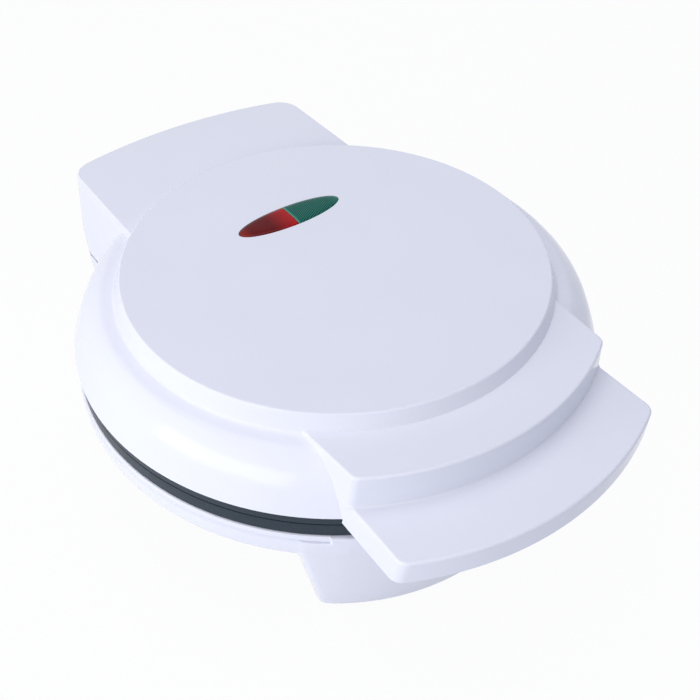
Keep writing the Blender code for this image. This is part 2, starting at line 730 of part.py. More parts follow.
def build_lamp(name, side, body, glass):
    """A neon lamp: a glass tube that lies in its chamber."""
    height = HOLDER_LOW_Z + HOLDER_WALL + FIT + LAMP_R
    start = side * LAMP_START
    end = start + side * LAMP_LENGTH
    shape = rod(LAMP_R, (start, LENS_Y, height), (end, LENS_Y, height), BORE_STEPS)
    return add_piece(name, shape, body, glass)


# Base shell: one moulding with the rim, the bowl, the front leg and the rear leg
def bowl_profile():
    """Outer profile of the rim and bowl from the rim's edge down to the middle of the floor."""
    points = [
        (BASE_RIM_R, BASE_RIM_Z),
        (BASE_RIM_R + RIM_LIP_OUT, BASE_RIM_Z - RIM_LIP / 3),
        (BASE_RIM_R + RIM_LIP_OUT, BASE_RIM_Z - RIM_LIP),
        (BELLY_R, BASE_RIM_Z - RIM_LIP - RIM_LIP / 3),
        (BELLY_R, PARTING_Z),
    ]
    for out, down in BOWL_SHARES:
        points.append((BOWL_FLOOR_R + out * (BELLY_R - BOWL_FLOOR_R), BASE_RIM_Z - down * BOWL_DEPTH))
    points += [(BOWL_FLOOR_R, BOWL_FLOOR_Z), (0, BOWL_FLOOR_Z)]
    return points


def front_leg_outline(low_share, inset):
    """Front leg's outline at a share of the way down from its top to the table end."""
    half = FRONT_LEG_FOOT_HALF + (1 - low_share) * FRONT_LEG_SPREAD
    radius = FRONT_LEG_TOP_R + low_share * (FRONT_LEG_FOOT_R - FRONT_LEG_TOP_R)
    side = FRONT_LEG_SIDE + low_share * (FRONT_LEG_FOOT_SIDE - FRONT_LEG_SIDE)
    root = math.sqrt(radius ** 2 - half ** 2) - side + inset
    return end_outline(half - inset, radius - inset, radius - inset, FRONT_LEG_CORNER - inset / 2, root, -1)


def rear_leg_outline(low_share, inset, root, root_arc_r=None):
    """Rear leg's outline: a lip wider than the lid's housing at the parting, drawn in towards the table."""
    wide = HOUSING_DRAFT + HOUSING_LIP - low_share * REAR_LEG_DRAFT
    return housing_outline(inset - wide, root, root_arc_r)


def build_base_shell(body, plastic):
    shell = add_piece("base_shell", turned([(0, BASE_RIM_Z)] + bowl_profile()), body, plastic)

    sections = []
    for low_share, inset_share in FRONT_LEG_SHARES:
        height = FOOT_PROUD + (1 - low_share) * (PARTING_Z - FOOT_PROUD)
        sections.append((front_leg_outline(low_share, inset_share * BASE_WALL / 2), height))
    sections.append((front_leg_outline(0.0, 0.0), BASE_RIM_Z - RIM_LIP))
    sections.append((front_leg_outline(0.0, RIM_BELLY + FRONT_LEG_PROUD), BASE_RIM_Z - FIT))
    weld(shell, lofted(sections), "front_leg")

    rear_sections = [
        (rear_leg_outline(1.0, BASE_WALL / 2, REAR_LEG_ROOT), FOOT_PROUD),
        (rear_leg_outline(1.0, 0.0, REAR_LEG_ROOT), FOOT_PROUD + BASE_WALL / 2),
        (rear_leg_outline(0.0, 0.0, REAR_LEG_ROOT), BASE_PARTING_Z - BASE_WALL / 2),
        (rear_leg_outline(0.0, FIT, REAR_LEG_ROOT), BASE_PARTING_Z),
    ]
    weld(shell, lofted(rear_sections), "rear_leg")

    hollow = [(0, BASE_RIM_Z + OVERRUN), (BASE_RIM_R - BASE_WALL, BASE_RIM_Z + OVERRUN)]
    walls = bowl_profile()[4:]
    hollow += [tuple(point) for point in inset_profile(walls[:1] + walls[1:-1:2] + walls[-2:], BASE_WALL)]
    cut(shell, turned(hollow), "bowl_hollow")

    pocket_low = FOOT_PROUD + LEG_FLOOR
    pocket_high = BASE_RIM_Z - FRONT_POCKET_TOP
    cut(shell, lofted([
        (front_leg_outline(1.0, BASE_WALL), pocket_low), (front_leg_outline(0.0, BASE_WALL), pocket_high),
    ]), "front_pocket")

    rear_high = BASE_RIM_Z - REAR_POCKET_TOP
    rear_root = REAR_LEG_ROOT + BASE_WALL
    cut(shell, lofted([
        (rear_leg_outline(1.0, BASE_WALL, rear_root), pocket_low),
        (rear_leg_outline(0.0, BASE_WALL, rear_root), rear_high),
    ]), "rear_pocket")
    mouth = rear_leg_outline(0.0, BASE_WALL + FIT, 0, BELLY_R + BASE_WALL / 2)
    cut(shell, lofted([
        (mouth, rear_high - OVERRUN), (mouth, BASE_PARTING_Z + OVERRUN),
    ]), "rear_pocket_mouth")

    bosses = []
    bores = []
    for x, y in plate_screw_places(SCREW_CIRCLE_R):
        low = BASE_RIM_Z - BASE_BOSS_HEIGHT
        bore_low = BASE_RIM_Z - SCREW_GRIP - 2 * FIT
        bosses.append(rod(BOSS_R, (x, y, low), (x, y, BASE_RIM_Z), BOSS_STEPS))
        bores.append(rod(POST_BORE_R, (x, y, bore_low), (x, y, BASE_RIM_Z + OVERRUN), BOSS_STEPS))
    weld(shell, gathered(bosses), "base_bosses")
    cut(shell, gathered(bores), "base_boss_bores")

    sockets = []
    for x, y in foot_places():
        sockets.append(rod(FOOT_R, (x, y, FOOT_PROUD - OVERRUN),
                           (x, y, FOOT_PROUD + FOOT_SOCKET), FOOT_STEPS))
    cut(shell, gathered(sockets), "foot_sockets")

    cut(shell, rod(
        BUSH_R, (BUSH_X, HOUSING_REACH - BASE_WALL - BUSH_FLANGE_R, BUSH_Z),
        (BUSH_X, HOUSING_REACH + BUSH_FLANGE_R, BUSH_Z), FOOT_STEPS,
    ), "cord_hole")

    room_half = HINGE_LID_HALF + FIT
    cut(shell, hinge_rod(HINGE_BARREL_R + FIT, -room_half, room_half), "lid_barrel_room")
    barrels = []
    for side in (-1, 1):
        barrels.append(hinge_rod(HINGE_BARREL_R, side * (room_half + FIT), side * HINGE_HALF))
    weld(shell, gathered(barrels), "base_barrels")
    cut(shell, hinge_bore(), "base_hinge_bore")
    return shell


def foot_places():
    """Two feet under the ends of the front leg and two under the rear leg."""
    front_x = FRONT_LEG_FOOT_HALF - FOOT_FRONT_IN
    front_y = math.sqrt(FRONT_LEG_FOOT_R ** 2 - front_x ** 2) - FOOT_FRONT_EDGE - FOOT_R
    rear_x = HOUSING_HALF - FOOT_REAR_IN
    rear_y = HOUSING_REACH - FOOT_REAR_EDGE - FOOT_R
    return [(-front_x, -front_y), (front_x, -front_y), (-rear_x, rear_y), (rear_x, rear_y)]


def build_foot(name, place, body, rubber):
    x, y = place
    radius = FOOT_R - FIT
    shape = turned([
        (0, FOOT_PROUD + FOOT_SOCKET - FIT), (radius, FOOT_PROUD + FOOT_SOCKET - FIT),
        (radius, FOOT_PROUD / 2), (radius - FOOT_PROUD / 2, 0), (0, 0),
    ], FOOT_STEPS)
    bmesh.ops.translate(shape, vec=(x, y, 0), verts=shape.verts)
    return add_piece(name, shape, body, rubber)


def rear_wall_y(x, height):
    """Outer face of the rear leg's back wall at a place across and up."""
    low_share = (BASE_PARTING_Z - height) / (BASE_PARTING_Z - FOOT_PROUD)
    wide = HOUSING_DRAFT + HOUSING_LIP - low_share * REAR_LEG_DRAFT
    arc_r = HOUSING_ARC_R + wide
    return HOUSING_REACH - HOUSING_ARC_R + math.sqrt(arc_r ** 2 - x ** 2)


def build_cord_bush(body, rubber):
    """The ring in the rear wall that a supply cord passes through, with a flange inside the wall."""
    seat_y = rear_wall_y(BUSH_X + BUSH_FLANGE_R, BUSH_Z - BUSH_FLANGE_R) - BASE_WALL - FIT
    end_y = rear_wall_y(BUSH_X, BUSH_Z) + BUSH_PROUD
    shape = turned([
        (BUSH_BORE_R, seat_y - BUSH_FLANGE_T), (BUSH_FLANGE_R, seat_y - BUSH_FLANGE_T),
        (BUSH_FLANGE_R, seat_y), (BUSH_R - FIT, seat_y), (BUSH_R - FIT, end_y), (BUSH_BORE_R, end_y),
    ], FOOT_STEPS)
    bmesh.ops.rotate(shape, cent=(0, 0, 0), matrix=Matrix.Rotation(-math.pi / 2, 3, "X"), verts=shape.verts)
    bmesh.ops.translate(shape, vec=(BUSH_X, 0, BUSH_Z), verts=shape.verts)
    return add_piece("cord_bush", shape, body, rubber)


# Waffle plates: cast aluminium, a flange on the housing's rim and a field of pegs cut by a cross ridge
def plate_profile(facing, flange):
    """Section of a plate, from the middle of its cooking floor round its flange to the middle of its back."""
    rise = SPLIT_GAP / 2
    wall_r = CAVITY_R + PLATE_T
    points = [
        (0, FLOOR_DEPTH), (CAVITY_R - CAVITY_DRAFT, FLOOR_DEPTH), (CAVITY_R, rise),
        (PLATE_R - FLANGE_EDGE, rise), (PLATE_R, rise + FLANGE_EDGE), (PLATE_R, rise + flange),
        (wall_r, rise + flange), (wall_r - CAVITY_DRAFT, BACK_DEPTH), (0, BACK_DEPTH),
    ]
    return [(radius, SPLIT_Z + facing * height) for radius, height in points]


def peg_places():
    """Peg centres in one quarter, kept clear of the cavity's wall."""
    first = (RIDGE_FOOT + PEG_PITCH + (PEG_PITCH - PEG_FOOT)) / 2 - RIDGE_TOP / 2
    limit = CAVITY_R - CAVITY_DRAFT - math.hypot(PEG_FOOT / 2, PEG_FOOT / 2)
    count = int(CAVITY_R / PEG_PITCH) + 1
    line = [first + PEG_PITCH * index for index in range(count)]
    return [(x, y) for x in line for y in line if math.hypot(x, y) < limit]


def ridge_outline(half):
    reach = CAVITY_R - CAVITY_DRAFT / 2
    return [
        (reach, -half), (reach, half), (half, half), (half, reach), (-half, reach), (-half, half),
        (-reach, half), (-reach, -half), (-half, -half), (-half, -reach), (half, -reach), (half, -half),
    ]


def square_outline(x, y, half):
    return [(x - half, y - half), (x + half, y - half), (x + half, y + half), (x - half, y + half)]


def build_plate(name, facing, flange, body, metal):
    plate = add_piece(name, turned(plate_profile(facing, flange)), body, metal)
    foot_z = SPLIT_Z + facing * (FLOOR_DEPTH + PLATE_T / 2)
    top_z = SPLIT_Z + facing * (FLOOR_DEPTH - PEG_HEIGHT)
    shapes = [lofted([(ridge_outline(RIDGE_FOOT / 2), foot_z), (ridge_outline(RIDGE_TOP / 2), top_z)])]
    for x, y in peg_places():
        for x_side in (-1, 1):
            for y_side in (-1, 1):
                shapes.append(lofted([
                    (square_outline(x_side * x, y_side * y, PEG_FOOT / 2), foot_z),
                    (square_outline(x_side * x, y_side * y, PEG_TOP / 2), top_z),
                ]))
    weld(plate, gathered(shapes), name + "_pegs")
    heads = []
    shanks = []
    seal = SPLIT_Z + facing * SPLIT_GAP / 2
    seat = seal + facing * (SCREW_HEAD_H + FIT)
    for x, y in plate_screw_places(SCREW_CIRCLE_R):
        heads.append(rod(SCREW_HEAD_R + FIT, (x, y, seal - facing * OVERRUN), (x, y, seat), BOSS_STEPS))
        shanks.append(rod(POST_BORE_R, (x, y, seat - facing * FIT / 2),
                          (x, y, seal + facing * (flange + OVERRUN)), BOSS_STEPS))
    cut(plate, gathered(heads), name + "_screw_heads")
    cut(plate, gathered(shanks), name + "_screw_shanks")
    return plate


def build_plate_screw(name, place, facing, flange, body, metal):
    x, y = place
    seat = SPLIT_Z + facing * (SPLIT_GAP / 2 + SCREW_HEAD_H + FIT / 2)
    length = flange - SCREW_HEAD_H + FIT + SCREW_GRIP
    shape = screw_shape((x, y, seat), facing, SCREW_HEAD_R, SCREW_HEAD_H, SCREW_R, length)
    return add_piece(name, shape, body, metal)


# Heating: a sheathed element on each plate's back and a sheet pan over it
def build_heater(name, facing, body, metal):
    """A tube bent to a ring, with both ends turned away from the plate."""
    ring_z = HEATER_DEPTH
    end_turn = math.asin(HEATER_END_X / HEATER_R)
    bend_turn = HEATER_BEND / HEATER_R
    start = math.pi / 2 + end_turn + bend_turn
    sweep = FULL_TURN - 2 * (end_turn + bend_turn)
    ring_steps = 28
    bend_steps = 3
    points = []
    for step in range(ring_steps + 1):
        turn = start + sweep * step / ring_steps
        points.append((HEATER_R * math.cos(turn), HEATER_R * math.sin(turn), ring_z))

    def end_points(turn, direction):
        tangent = Vector((-math.sin(turn), math.cos(turn), 0)) * direction
        base = Vector((HEATER_R * math.cos(turn), HEATER_R * math.sin(turn), ring_z))
        bend = []
        for step in range(1, bend_steps + 1):
            angle = math.pi / 2 * step / bend_steps
            lift = Vector((0, 0, HEATER_BEND * (1 - math.cos(angle))))
            bend.append(base + tangent * HEATER_BEND * math.sin(angle) + lift)
        bend.append(bend[-1] + Vector((0, 0, HEATER_RISE - HEATER_BEND)))
        return [tuple(point) for point in bend]

    first = end_points(start, -1)
    last = end_points(start + sweep, 1)
    route = first[::-1] + points + last
    curve = bpy.data.curves.new(name, "CURVE")
    curve.dimensions = "3D"
    curve.bevel_depth = HEATER_TUBE_R
    curve.bevel_resolution = 1
    curve.use_fill_caps = True
    spline = curve.splines.new("POLY")
    spline.points.add(len(route) - 1)
    for point, (x, y, z) in zip(spline.points, route):
        point.co = (x, y, SPLIT_Z + facing * z, 1)
    curve.materials.append(metal)
    heater = bpy.data.objects.new(name, curve)
    bpy.context.scene.collection.objects.link(heater)
    ride_on(heater, body)
    return heater


def build_pan(name, facing, body, metal):
    """A shallow sheet metal pan upside down over the element, its rim on the plate's back."""
    rim = BACK_DEPTH + FIT
    inner = PAN_DEPTH - PAN_T
    section = [
        (PAN_HOLE_R, inner), (PAN_R - PAN_LIP, inner), (PAN_R, inner - PAN_LIP), (PAN_R, rim),
        (PAN_R + PAN_T, rim), (PAN_R + PAN_T, inner - PAN_LIP + PAN_T / 2),
        (PAN_R - PAN_LIP + PAN_T / 2, inner + PAN_T), (PAN_HOLE_R, inner + PAN_T),
    ]
    pan = add_piece(name, turned([(r, SPLIT_Z + facing * z) for r, z in section], PAN_STEPS), body, metal)
    tube_room = HEATER_TUBE_R + PAN_HOLE_FIT
    near_x, far_x = HEATER_END_X - tube_room, HEATER_END_X + HEATER_BEND + PAN_HOLE_FIT
    far_y = math.sqrt(HEATER_R ** 2 - near_x ** 2) + tube_room
    near_y = math.sqrt(HEATER_R ** 2 - far_x ** 2) - tube_room
    low, high = sorted((SPLIT_Z + facing * (inner - OVERRUN), SPLIT_Z + facing * (inner + OVERRUN)))
    holes = [
        block((-far_x, near_y, low), (-near_x, far_y, high)),
        block((near_x, near_y, low), (far_x, far_y, high)),
    ]
    if facing > 0:
        holes.append(rod(THERMOSTAT_R + PAN_T + FIT, (0, -THERMOSTAT_Y, SPLIT_Z + inner - OVERRUN),
                         (0, -THERMOSTAT_Y, SPLIT_Z + inner + OVERRUN), FOOT_STEPS))
    cut(pan, gathered(holes), name + "_holes")
    return pan


def build_thermostat(body, metal):
    """A disc thermostat on the back of the upper plate: a metal cap below a narrower body."""
    low = SPLIT_Z + BACK_DEPTH + FIT
    shape = turned([
        (0, low), (THERMOSTAT_R, low), (THERMOSTAT_R, low + THERMOSTAT_H / 3),
        (THERMOSTAT_R * THERMOSTAT_WAIST_SHARE, low + THERMOSTAT_H / 3),
        (THERMOSTAT_R * THERMOSTAT_WAIST_SHARE, low + THERMOSTAT_H), (0, low + THERMOSTAT_H),
    ], FOOT_STEPS)
    bmesh.ops.translate(shape, vec=(0, -THERMOSTAT_Y, 0), verts=shape.verts)
    return add_piece("thermostat", shape, body, metal)


def build_fuse(body, metal):
    height = SPLIT_Z + BACK_DEPTH + FIT + FUSE_R
    x = THERMOSTAT_R + FUSE_GAP
    shape = rod(FUSE_R, (x, -THERMOSTAT_Y, height), (x + FUSE_LENGTH, -THERMOSTAT_Y, height), BORE_STEPS)
    return add_piece("thermal_fuse", shape, body, metal)


def build_hinge_pin(body, metal):
    half = HINGE_HALF - FIT
    shape = rod(HINGE_BORE_R - FIT, (-half, HINGE_Y, HINGE_Z), (half, HINGE_Y, HINGE_Z), BORE_STEPS)
    return add_piece("hinge_pin", shape, body, metal)


def build_terminal_block(body, plastic):
    """A terminal block on the rear leg's floor, with a row of screw wells along its top."""
    low = FOOT_PROUD + LEG_FLOOR + FIT
    high = low + TERMINAL_HEIGHT
    middle_y = (REAR_LEG_ROOT + HOUSING_REACH) / 2
    base = add_piece("terminal_block", block(
        (-TERMINAL_LENGTH / 2, middle_y - TERMINAL_WIDTH / 2, low),
        (TERMINAL_LENGTH / 2, middle_y + TERMINAL_WIDTH / 2, high),
    ), body, plastic)
    wells = []
    for place in (-1, 0, 1):
        x = place * TERMINAL_LENGTH / 3
        wells.append(rod(TERMINAL_WELL_R, (x, middle_y, (low + high) / 2),
                         (x, middle_y, high + OVERRUN), BORE_STEPS))
    cut(base, gathered(wells), "terminal_wells")
    return base


# Assembly
clear_scene()
WHITE_PLASTIC = add_material("white_plastic", (0.80, 0.81, 0.88), 0.18)
DARK_COATING = add_material("dark_coating", (0.045, 0.06, 0.075), 0.38, 0.2)
RED_LENS = add_material("red_lens", (0.30, 0.012, 0.015), 0.12)
GREEN_LENS = add_material("green_lens", (0.01, 0.17, 0.13), 0.12)
HOLDER_PLASTIC = add_material("holder_plastic", (0.72, 0.70, 0.62), 0.5)
LAMP_GLASS = add_material("lamp_glass", (0.85, 0.80, 0.75), 0.08)
ELEMENT_STEEL = add_material("element_steel", (0.30, 0.29, 0.28), 0.45, 1.0)
SHEET_STEEL = add_material("sheet_steel", (0.62, 0.62, 0.60), 0.3, 1.0)
SCREW_STEEL = add_material("screw_steel", (0.55, 0.55, 0.55), 0.3, 1.0)
BLACK_RUBBER = add_material("black_rubber", (0.02, 0.02, 0.02), 0.8)

PLATE_AXIS = add_empty("plate_axis", (0, PLATE_AXIS_Y, 0))
LID_HINGE = add_empty("lid_hinge", (0, HINGE_Y, HINGE_Z), PLATE_AXIS)

build_base_shell(PLATE_AXIS, WHITE_PLASTIC)
build_plate("lower_plate", -1, LOWER_FLANGE, PLATE_AXIS, DARK_COATING)
build_heater("lower_heater", -1, PLATE_AXIS, ELEMENT_STEEL)
build_pan("lower_reflector", -1, PLATE_AXIS, SHEET_STEEL)
build_hinge_pin(PLATE_AXIS, SCREW_STEEL)
build_terminal_block(PLATE_AXIS, HOLDER_PLASTIC)
build_cord_bush(PLATE_AXIS, BLACK_RUBBER)
for number, foot_place in enumerate(foot_places(), 1):
    build_foot(f"rubber_foot_{number}", foot_place, PLATE_AXIS, BLACK_RUBBER)

build_lid_cover(LID_HINGE, WHITE_PLASTIC)
build_handle_cover(LID_HINGE, WHITE_PLASTIC)
build_lens("power_lens", -1, LID_HINGE, RED_LENS)
build_lens("ready_lens", 1, LID_HINGE, GREEN_LENS)
build_lamp_holder(LID_HINGE, HOLDER_PLASTIC)
build_lamp("power_lamp", -1, LID_HINGE, LAMP_GLASS)
build_lamp("ready_lamp", 1, LID_HINGE, LAMP_GLASS)
build_plate("upper_plate", 1, UPPER_FLANGE, LID_HINGE, DARK_COATING)
build_heater("upper_heater", 1, LID_HINGE, ELEMENT_STEEL)
build_pan("upper_reflector", 1, LID_HINGE, SHEET_STEEL)
build_thermostat(LID_HINGE, HOLDER_PLASTIC)
build_fuse(LID_HINGE, SHEET_STEEL)

for number, screw_place in enumerate(plate_screw_places(SCREW_CIRCLE_R), 1):
    build_plate_screw(f"lower_plate_screw_{number}", screw_place, -1, LOWER_FLANGE, PLATE_AXIS, SCREW_STEEL)
    build_plate_screw(f"upper_plate_screw_{number}", screw_place, 1, UPPER_FLANGE, LID_HINGE, SCREW_STEEL)

for label, side, (post_x, post_y) in zip(("left", "right"), (-1, 1), handle_post_places()):
    cover_screw = screw_shape(
        (post_x, post_y, HANDLE_LOW_Z - FIT), 1,
        SCREW_HEAD_R, SCREW_HEAD_H, SCREW_R, FIT + HANDLE_COVER_T + FIT + HANDLE_SCREW_GRIP,
    )
    add_piece(f"handle_cover_screw_{label}", cover_screw, LID_HINGE, SCREW_STEEL)
    holder_screw = screw_shape(
        (side * HOLDER_POST_X, LENS_Y, HOLDER_TAB_Z - FIT), 1,
        2 * HOLDER_SCREW_R, SCREW_HEAD_H - FIT, HOLDER_SCREW_R, HOLDER_SCREW_LENGTH,
    )
    add_piece(f"lamp_holder_screw_{label}", holder_screw, LID_HINGE, SCREW_STEEL)
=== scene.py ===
import itertools
import json
import math

import bmesh
import bpy
from mathutils import Matrix, Vector

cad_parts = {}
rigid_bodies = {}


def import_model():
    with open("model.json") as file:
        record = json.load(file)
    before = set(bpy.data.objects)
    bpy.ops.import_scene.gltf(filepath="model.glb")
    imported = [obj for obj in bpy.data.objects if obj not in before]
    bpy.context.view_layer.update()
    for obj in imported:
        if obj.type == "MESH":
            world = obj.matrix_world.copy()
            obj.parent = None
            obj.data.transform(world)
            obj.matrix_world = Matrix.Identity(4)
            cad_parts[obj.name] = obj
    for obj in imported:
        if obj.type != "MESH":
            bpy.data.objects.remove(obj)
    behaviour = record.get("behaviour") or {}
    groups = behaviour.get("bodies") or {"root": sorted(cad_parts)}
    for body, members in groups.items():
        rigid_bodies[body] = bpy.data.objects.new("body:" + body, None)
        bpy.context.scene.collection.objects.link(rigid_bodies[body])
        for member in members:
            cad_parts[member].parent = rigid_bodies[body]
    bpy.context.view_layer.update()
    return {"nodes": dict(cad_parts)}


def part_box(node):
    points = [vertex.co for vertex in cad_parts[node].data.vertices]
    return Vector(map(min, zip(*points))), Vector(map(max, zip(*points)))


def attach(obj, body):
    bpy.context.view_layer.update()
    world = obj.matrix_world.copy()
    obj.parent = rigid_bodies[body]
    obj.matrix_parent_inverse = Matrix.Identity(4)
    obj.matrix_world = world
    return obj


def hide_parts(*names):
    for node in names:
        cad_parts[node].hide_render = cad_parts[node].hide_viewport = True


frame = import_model()

# Camera
# It stands to the left of the handle and looks down on the lid. Its place and angles were fitted to the
# photograph's outlines. It has no shift, and everything is in focus.
EYE = Vector((-0.16729, -0.24190, 0.32280))
AZIMUTH = math.radians(-36.370)
ELEVATION = math.radians(43.365)
ROLL = math.radians(1.047)
FOCAL_PIXELS = 914.3
PICTURE_PIXELS = 700
SENSOR_MM = 36

camera_back = Vector((
    math.sin(AZIMUTH) * math.cos(ELEVATION), -math.cos(AZIMUTH) * math.cos(ELEVATION), math.sin(ELEVATION),
))
camera_right = Vector((math.cos(AZIMUTH), math.sin(AZIMUTH), 0))
camera_turn = Matrix((camera_right, camera_back.cross(camera_right), camera_back)).transposed()
camera_turn = camera_turn @ Matrix.Rotation(ROLL, 3, "Z")

camera_data = bpy.data.cameras.new("camera")
camera_data.sensor_fit = "HORIZONTAL"
camera_data.sensor_width = SENSOR_MM
camera_data.lens = SENSOR_MM * FOCAL_PIXELS / PICTURE_PIXELS
camera_data.clip_start = 0.01
camera = bpy.data.objects.new("camera", camera_data)
camera.matrix_world = Matrix.Translation(EYE) @ camera_turn.to_4x4()
bpy.context.scene.collection.objects.link(camera)
bpy.context.scene.camera = camera
bpy.context.scene.view_settings.view_transform = "Standard"

# Floor and studio
# A seamless white paper floor under a soft surround, with a long softbox low on the left and a broad one
# high above. The white that the camera sees is the paper's own, so the object keeps its shading. From below
# the floor is clear, so that the feet can be looked at.
FLOOR_HALF = 4.0
PAPER = "e0e3ea"
PAPER_LIT_SHARE = 0.95
SURROUND = "d7dcec"
SURROUND_STRENGTH = 0.58


def linear(code):
    """The linear RGBA of an sRGB hex colour."""
    channels = [int(code[start:start + 2], 16) / 255 for start in (0, 2, 4)]
    return (*[c / 12.92 if c <= 0.04045 else ((c + 0.055) / 1.055) ** 2.4 for c in channels], 1.0)


def add_node(tree, kind, settings=None, **links):
    """Add a shader node.

    Settings are its properties, or its inputs by name or number. Links go to inputs too, by a name or by
    an underscore and a number.
    """
    node = tree.nodes.new(kind)
    for key, value in (settings or {}).items():
        if isinstance(key, str) and hasattr(node, key):
            setattr(node, key, value)
        else:
            node.inputs[key].default_value = value
    for key, source in links.items():
        place = int(key[1:]) if key[1:].isdigit() else key.replace("_", " ")
        tree.links.new(source, node.inputs[place])
    return node


def seen_share(tree):
    """1 for a ray that sees the surface, straight or in metal and glass, and 0 for one that only lights."""
    rays = add_node(tree, "ShaderNodeLightPath").outputs
    seen = rays["Is Camera Ray"]
    for way in ("Is Glossy Ray", "Is Transmission Ray"):
        seen = add_node(tree, "ShaderNodeMath", {"operation": "MAXIMUM"}, _0=seen, _1=rays[way]).outputs[0]
    return seen


floor_shape = bmesh.new()
bmesh.ops.create_grid(floor_shape, x_segments=1, y_segments=1, size=FLOOR_HALF)
floor_mesh = bpy.data.meshes.new("floor")
floor_shape.to_mesh(floor_mesh)
floor_shape.free()
floor = bpy.data.objects.new("floor", floor_mesh)
bpy.context.scene.collection.objects.link(floor)

paper = bpy.data.materials.new("white paper floor")
paper.use_nodes = True
tree = paper.node_tree
tree.nodes.clear()
share = add_node(tree, "ShaderNodeMath", {"operation": "MULTIPLY", 1: PAPER_LIT_SHARE}, _0=seen_share(tree))
matt = add_node(tree, "ShaderNodeBsdfDiffuse", {"Color": linear(PAPER)})
lit = add_node(tree, "ShaderNodeEmission", {"Color": linear("ffffff"), "Strength": 1.0})
top_side = add_node(tree, "ShaderNodeMixShader", _0=share.outputs[0], _1=matt.outputs[0], _2=lit.outputs[0])
below = add_node(tree, "ShaderNodeNewGeometry").outputs["Backfacing"]
clear = add_node(tree, "ShaderNodeBsdfTransparent")
either_side = add_node(tree, "ShaderNodeMixShader", _0=below, _1=top_side.outputs[0], _2=clear.outputs[0])
add_node(tree, "ShaderNodeOutputMaterial", Surface=either_side.outputs[0])
floor_mesh.materials.append(paper)

world = bpy.data.worlds.new("studio")
world.use_nodes = True
tree = world.node_tree
tree.nodes.clear()
soft = add_node(tree, "ShaderNodeBackground", {"Color": linear(SURROUND), "Strength": SURROUND_STRENGTH})
white = add_node(tree, "ShaderNodeBackground", {"Color": linear("ffffff"), "Strength": 1.0})
both = add_node(tree, "ShaderNodeMixShader", _0=seen_share(tree), _1=soft.outputs[0], _2=white.outputs[0])
add_node(tree, "ShaderNodeOutputWorld", Surface=both.outputs[0])
bpy.context.scene.world = world


def add_softbox(name, place, aim, width, height, watts):
    """An area lamp, in metres, that faces the point it aims at."""
    light = bpy.data.lights.new(name, "AREA")
    light.shape = "RECTANGLE"
    light.size = width
    light.size_y = height
    light.energy = watts
    softbox = bpy.data.objects.new(name, light)
    softbox.location = place
    softbox.rotation_euler = (Vector(aim) - Vector(place)).to_track_quat("-Z", "Y").to_euler()
    bpy.context.scene.collection.objects.link(softbox)


add_softbox("left softbox", place=(-1.11, -0.24, 0.40), aim=(0, 0, 0.06), width=1.15, height=0.5, watts=7.7)
add_softbox("overhead softbox", place=(-0.1, 0.1, 1.5), aim=(0, 0, 0.08), width=1.2, height=1.2, watts=8.0)

# Lid
# One injection moulding of white ABS: a raised disc, a rolled shoulder, two front steps of which the lower
# one is the handle, and the upper half of the hinge housing. All its edges are blended as in the mould.
# The round parts are turned about the plates' axis, and every outline is drawn from there. Pieces that go
# into one another leave the fit between them, and a cut runs past its solid by the overrun.
MM = 0.001
PLATE_AXIS = (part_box("lower_plate")[0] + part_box("lower_plate")[1]) / 2
AXIS_Y = PLATE_AXIS.y
BASE_RIM_Z = 61.2 * MM
LID_RIM_Z = 71.5 * MM
DISC_TOP_Z = 99.5 * MM
FIT = 0.3 * MM
OVERRUN = 2.0 * MM
SLIVER = 0.001 * MM
SHARP_ANGLE = math.radians(30)
FULL_TURN = 2 * math.pi

# Disc and shoulder. The shoulder's points are shares of its width and of its drop.
LID_WALL = 2.5 * MM
LID_RIM_R = 107.0 * MM
DISC_R = 85.3 * MM
DISC_EDGE_R = 0.9 * MM
STEP_FOOT_R = 2.0 * MM
SHOULDER_START_R = 88.4 * MM
SHOULDER_START_Z = DISC_TOP_Z - 7.8 * MM
SHOULDER_SHARES = (
    (0.156, 0.008), (0.317, 0.040), (0.517, 0.190), (0.661, 0.335),
    (0.780, 0.510), (0.872, 0.700), (0.950, 0.875), (1.0, 1.0),
)

# Handle, the lower step. A spread is how far a side leans out for each unit that it drops, and the levels
# of its skirt hold a height and an inset.
HANDLE_LOW_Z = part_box("handle_cover")[0].z
HANDLE_Z = HANDLE_LOW_Z + 10.2 * MM
HANDLE_HALF = 58.5 * MM
HANDLE_SPREAD = 0.15
HANDLE_REACH = 133.0 * MM
HANDLE_ARC_AHEAD = 6.8 * MM
HANDLE_CORNER = 5.0 * MM
HANDLE_CORNER_LOSS = 1.6 * MM
HANDLE_EDGE_R = 1.0 * MM
HANDLE_ROOT_R = LID_RIM_R + LID_WALL
HANDLE_SKIRT = ((HANDLE_LOW_Z, 0.3 * MM), (HANDLE_LOW_Z + 0.3 * MM, 0.0), (LID_RIM_Z + FIT, 0.0))
COVER_LEDGE = 1.3 * MM
COVER_LEDGE_Z = HANDLE_LOW_Z + 2.3 * MM

# Tongue, the upper step. Its sides flare out towards the disc, and a block under it is tucked in.
TONGUE_Z = DISC_TOP_Z - 5.9 * MM
TONGUE_HALF = 57.4 * MM
TONGUE_SPREAD = 0.11
TONGUE_FLARE = 3.6 * MM
TONGUE_REACH = 108.1 * MM
TONGUE_CORNER = 4.2 * MM
TONGUE_EDGE_R = 0.9 * MM
TONGUE_FOOT_R = 0.9 * MM
TONGUE_DRAFT = 0.5 * MM
TONGUE_TUCK = 1.0 * MM
TONGUE_HOLLOW_EDGE_R = 1.6 * MM

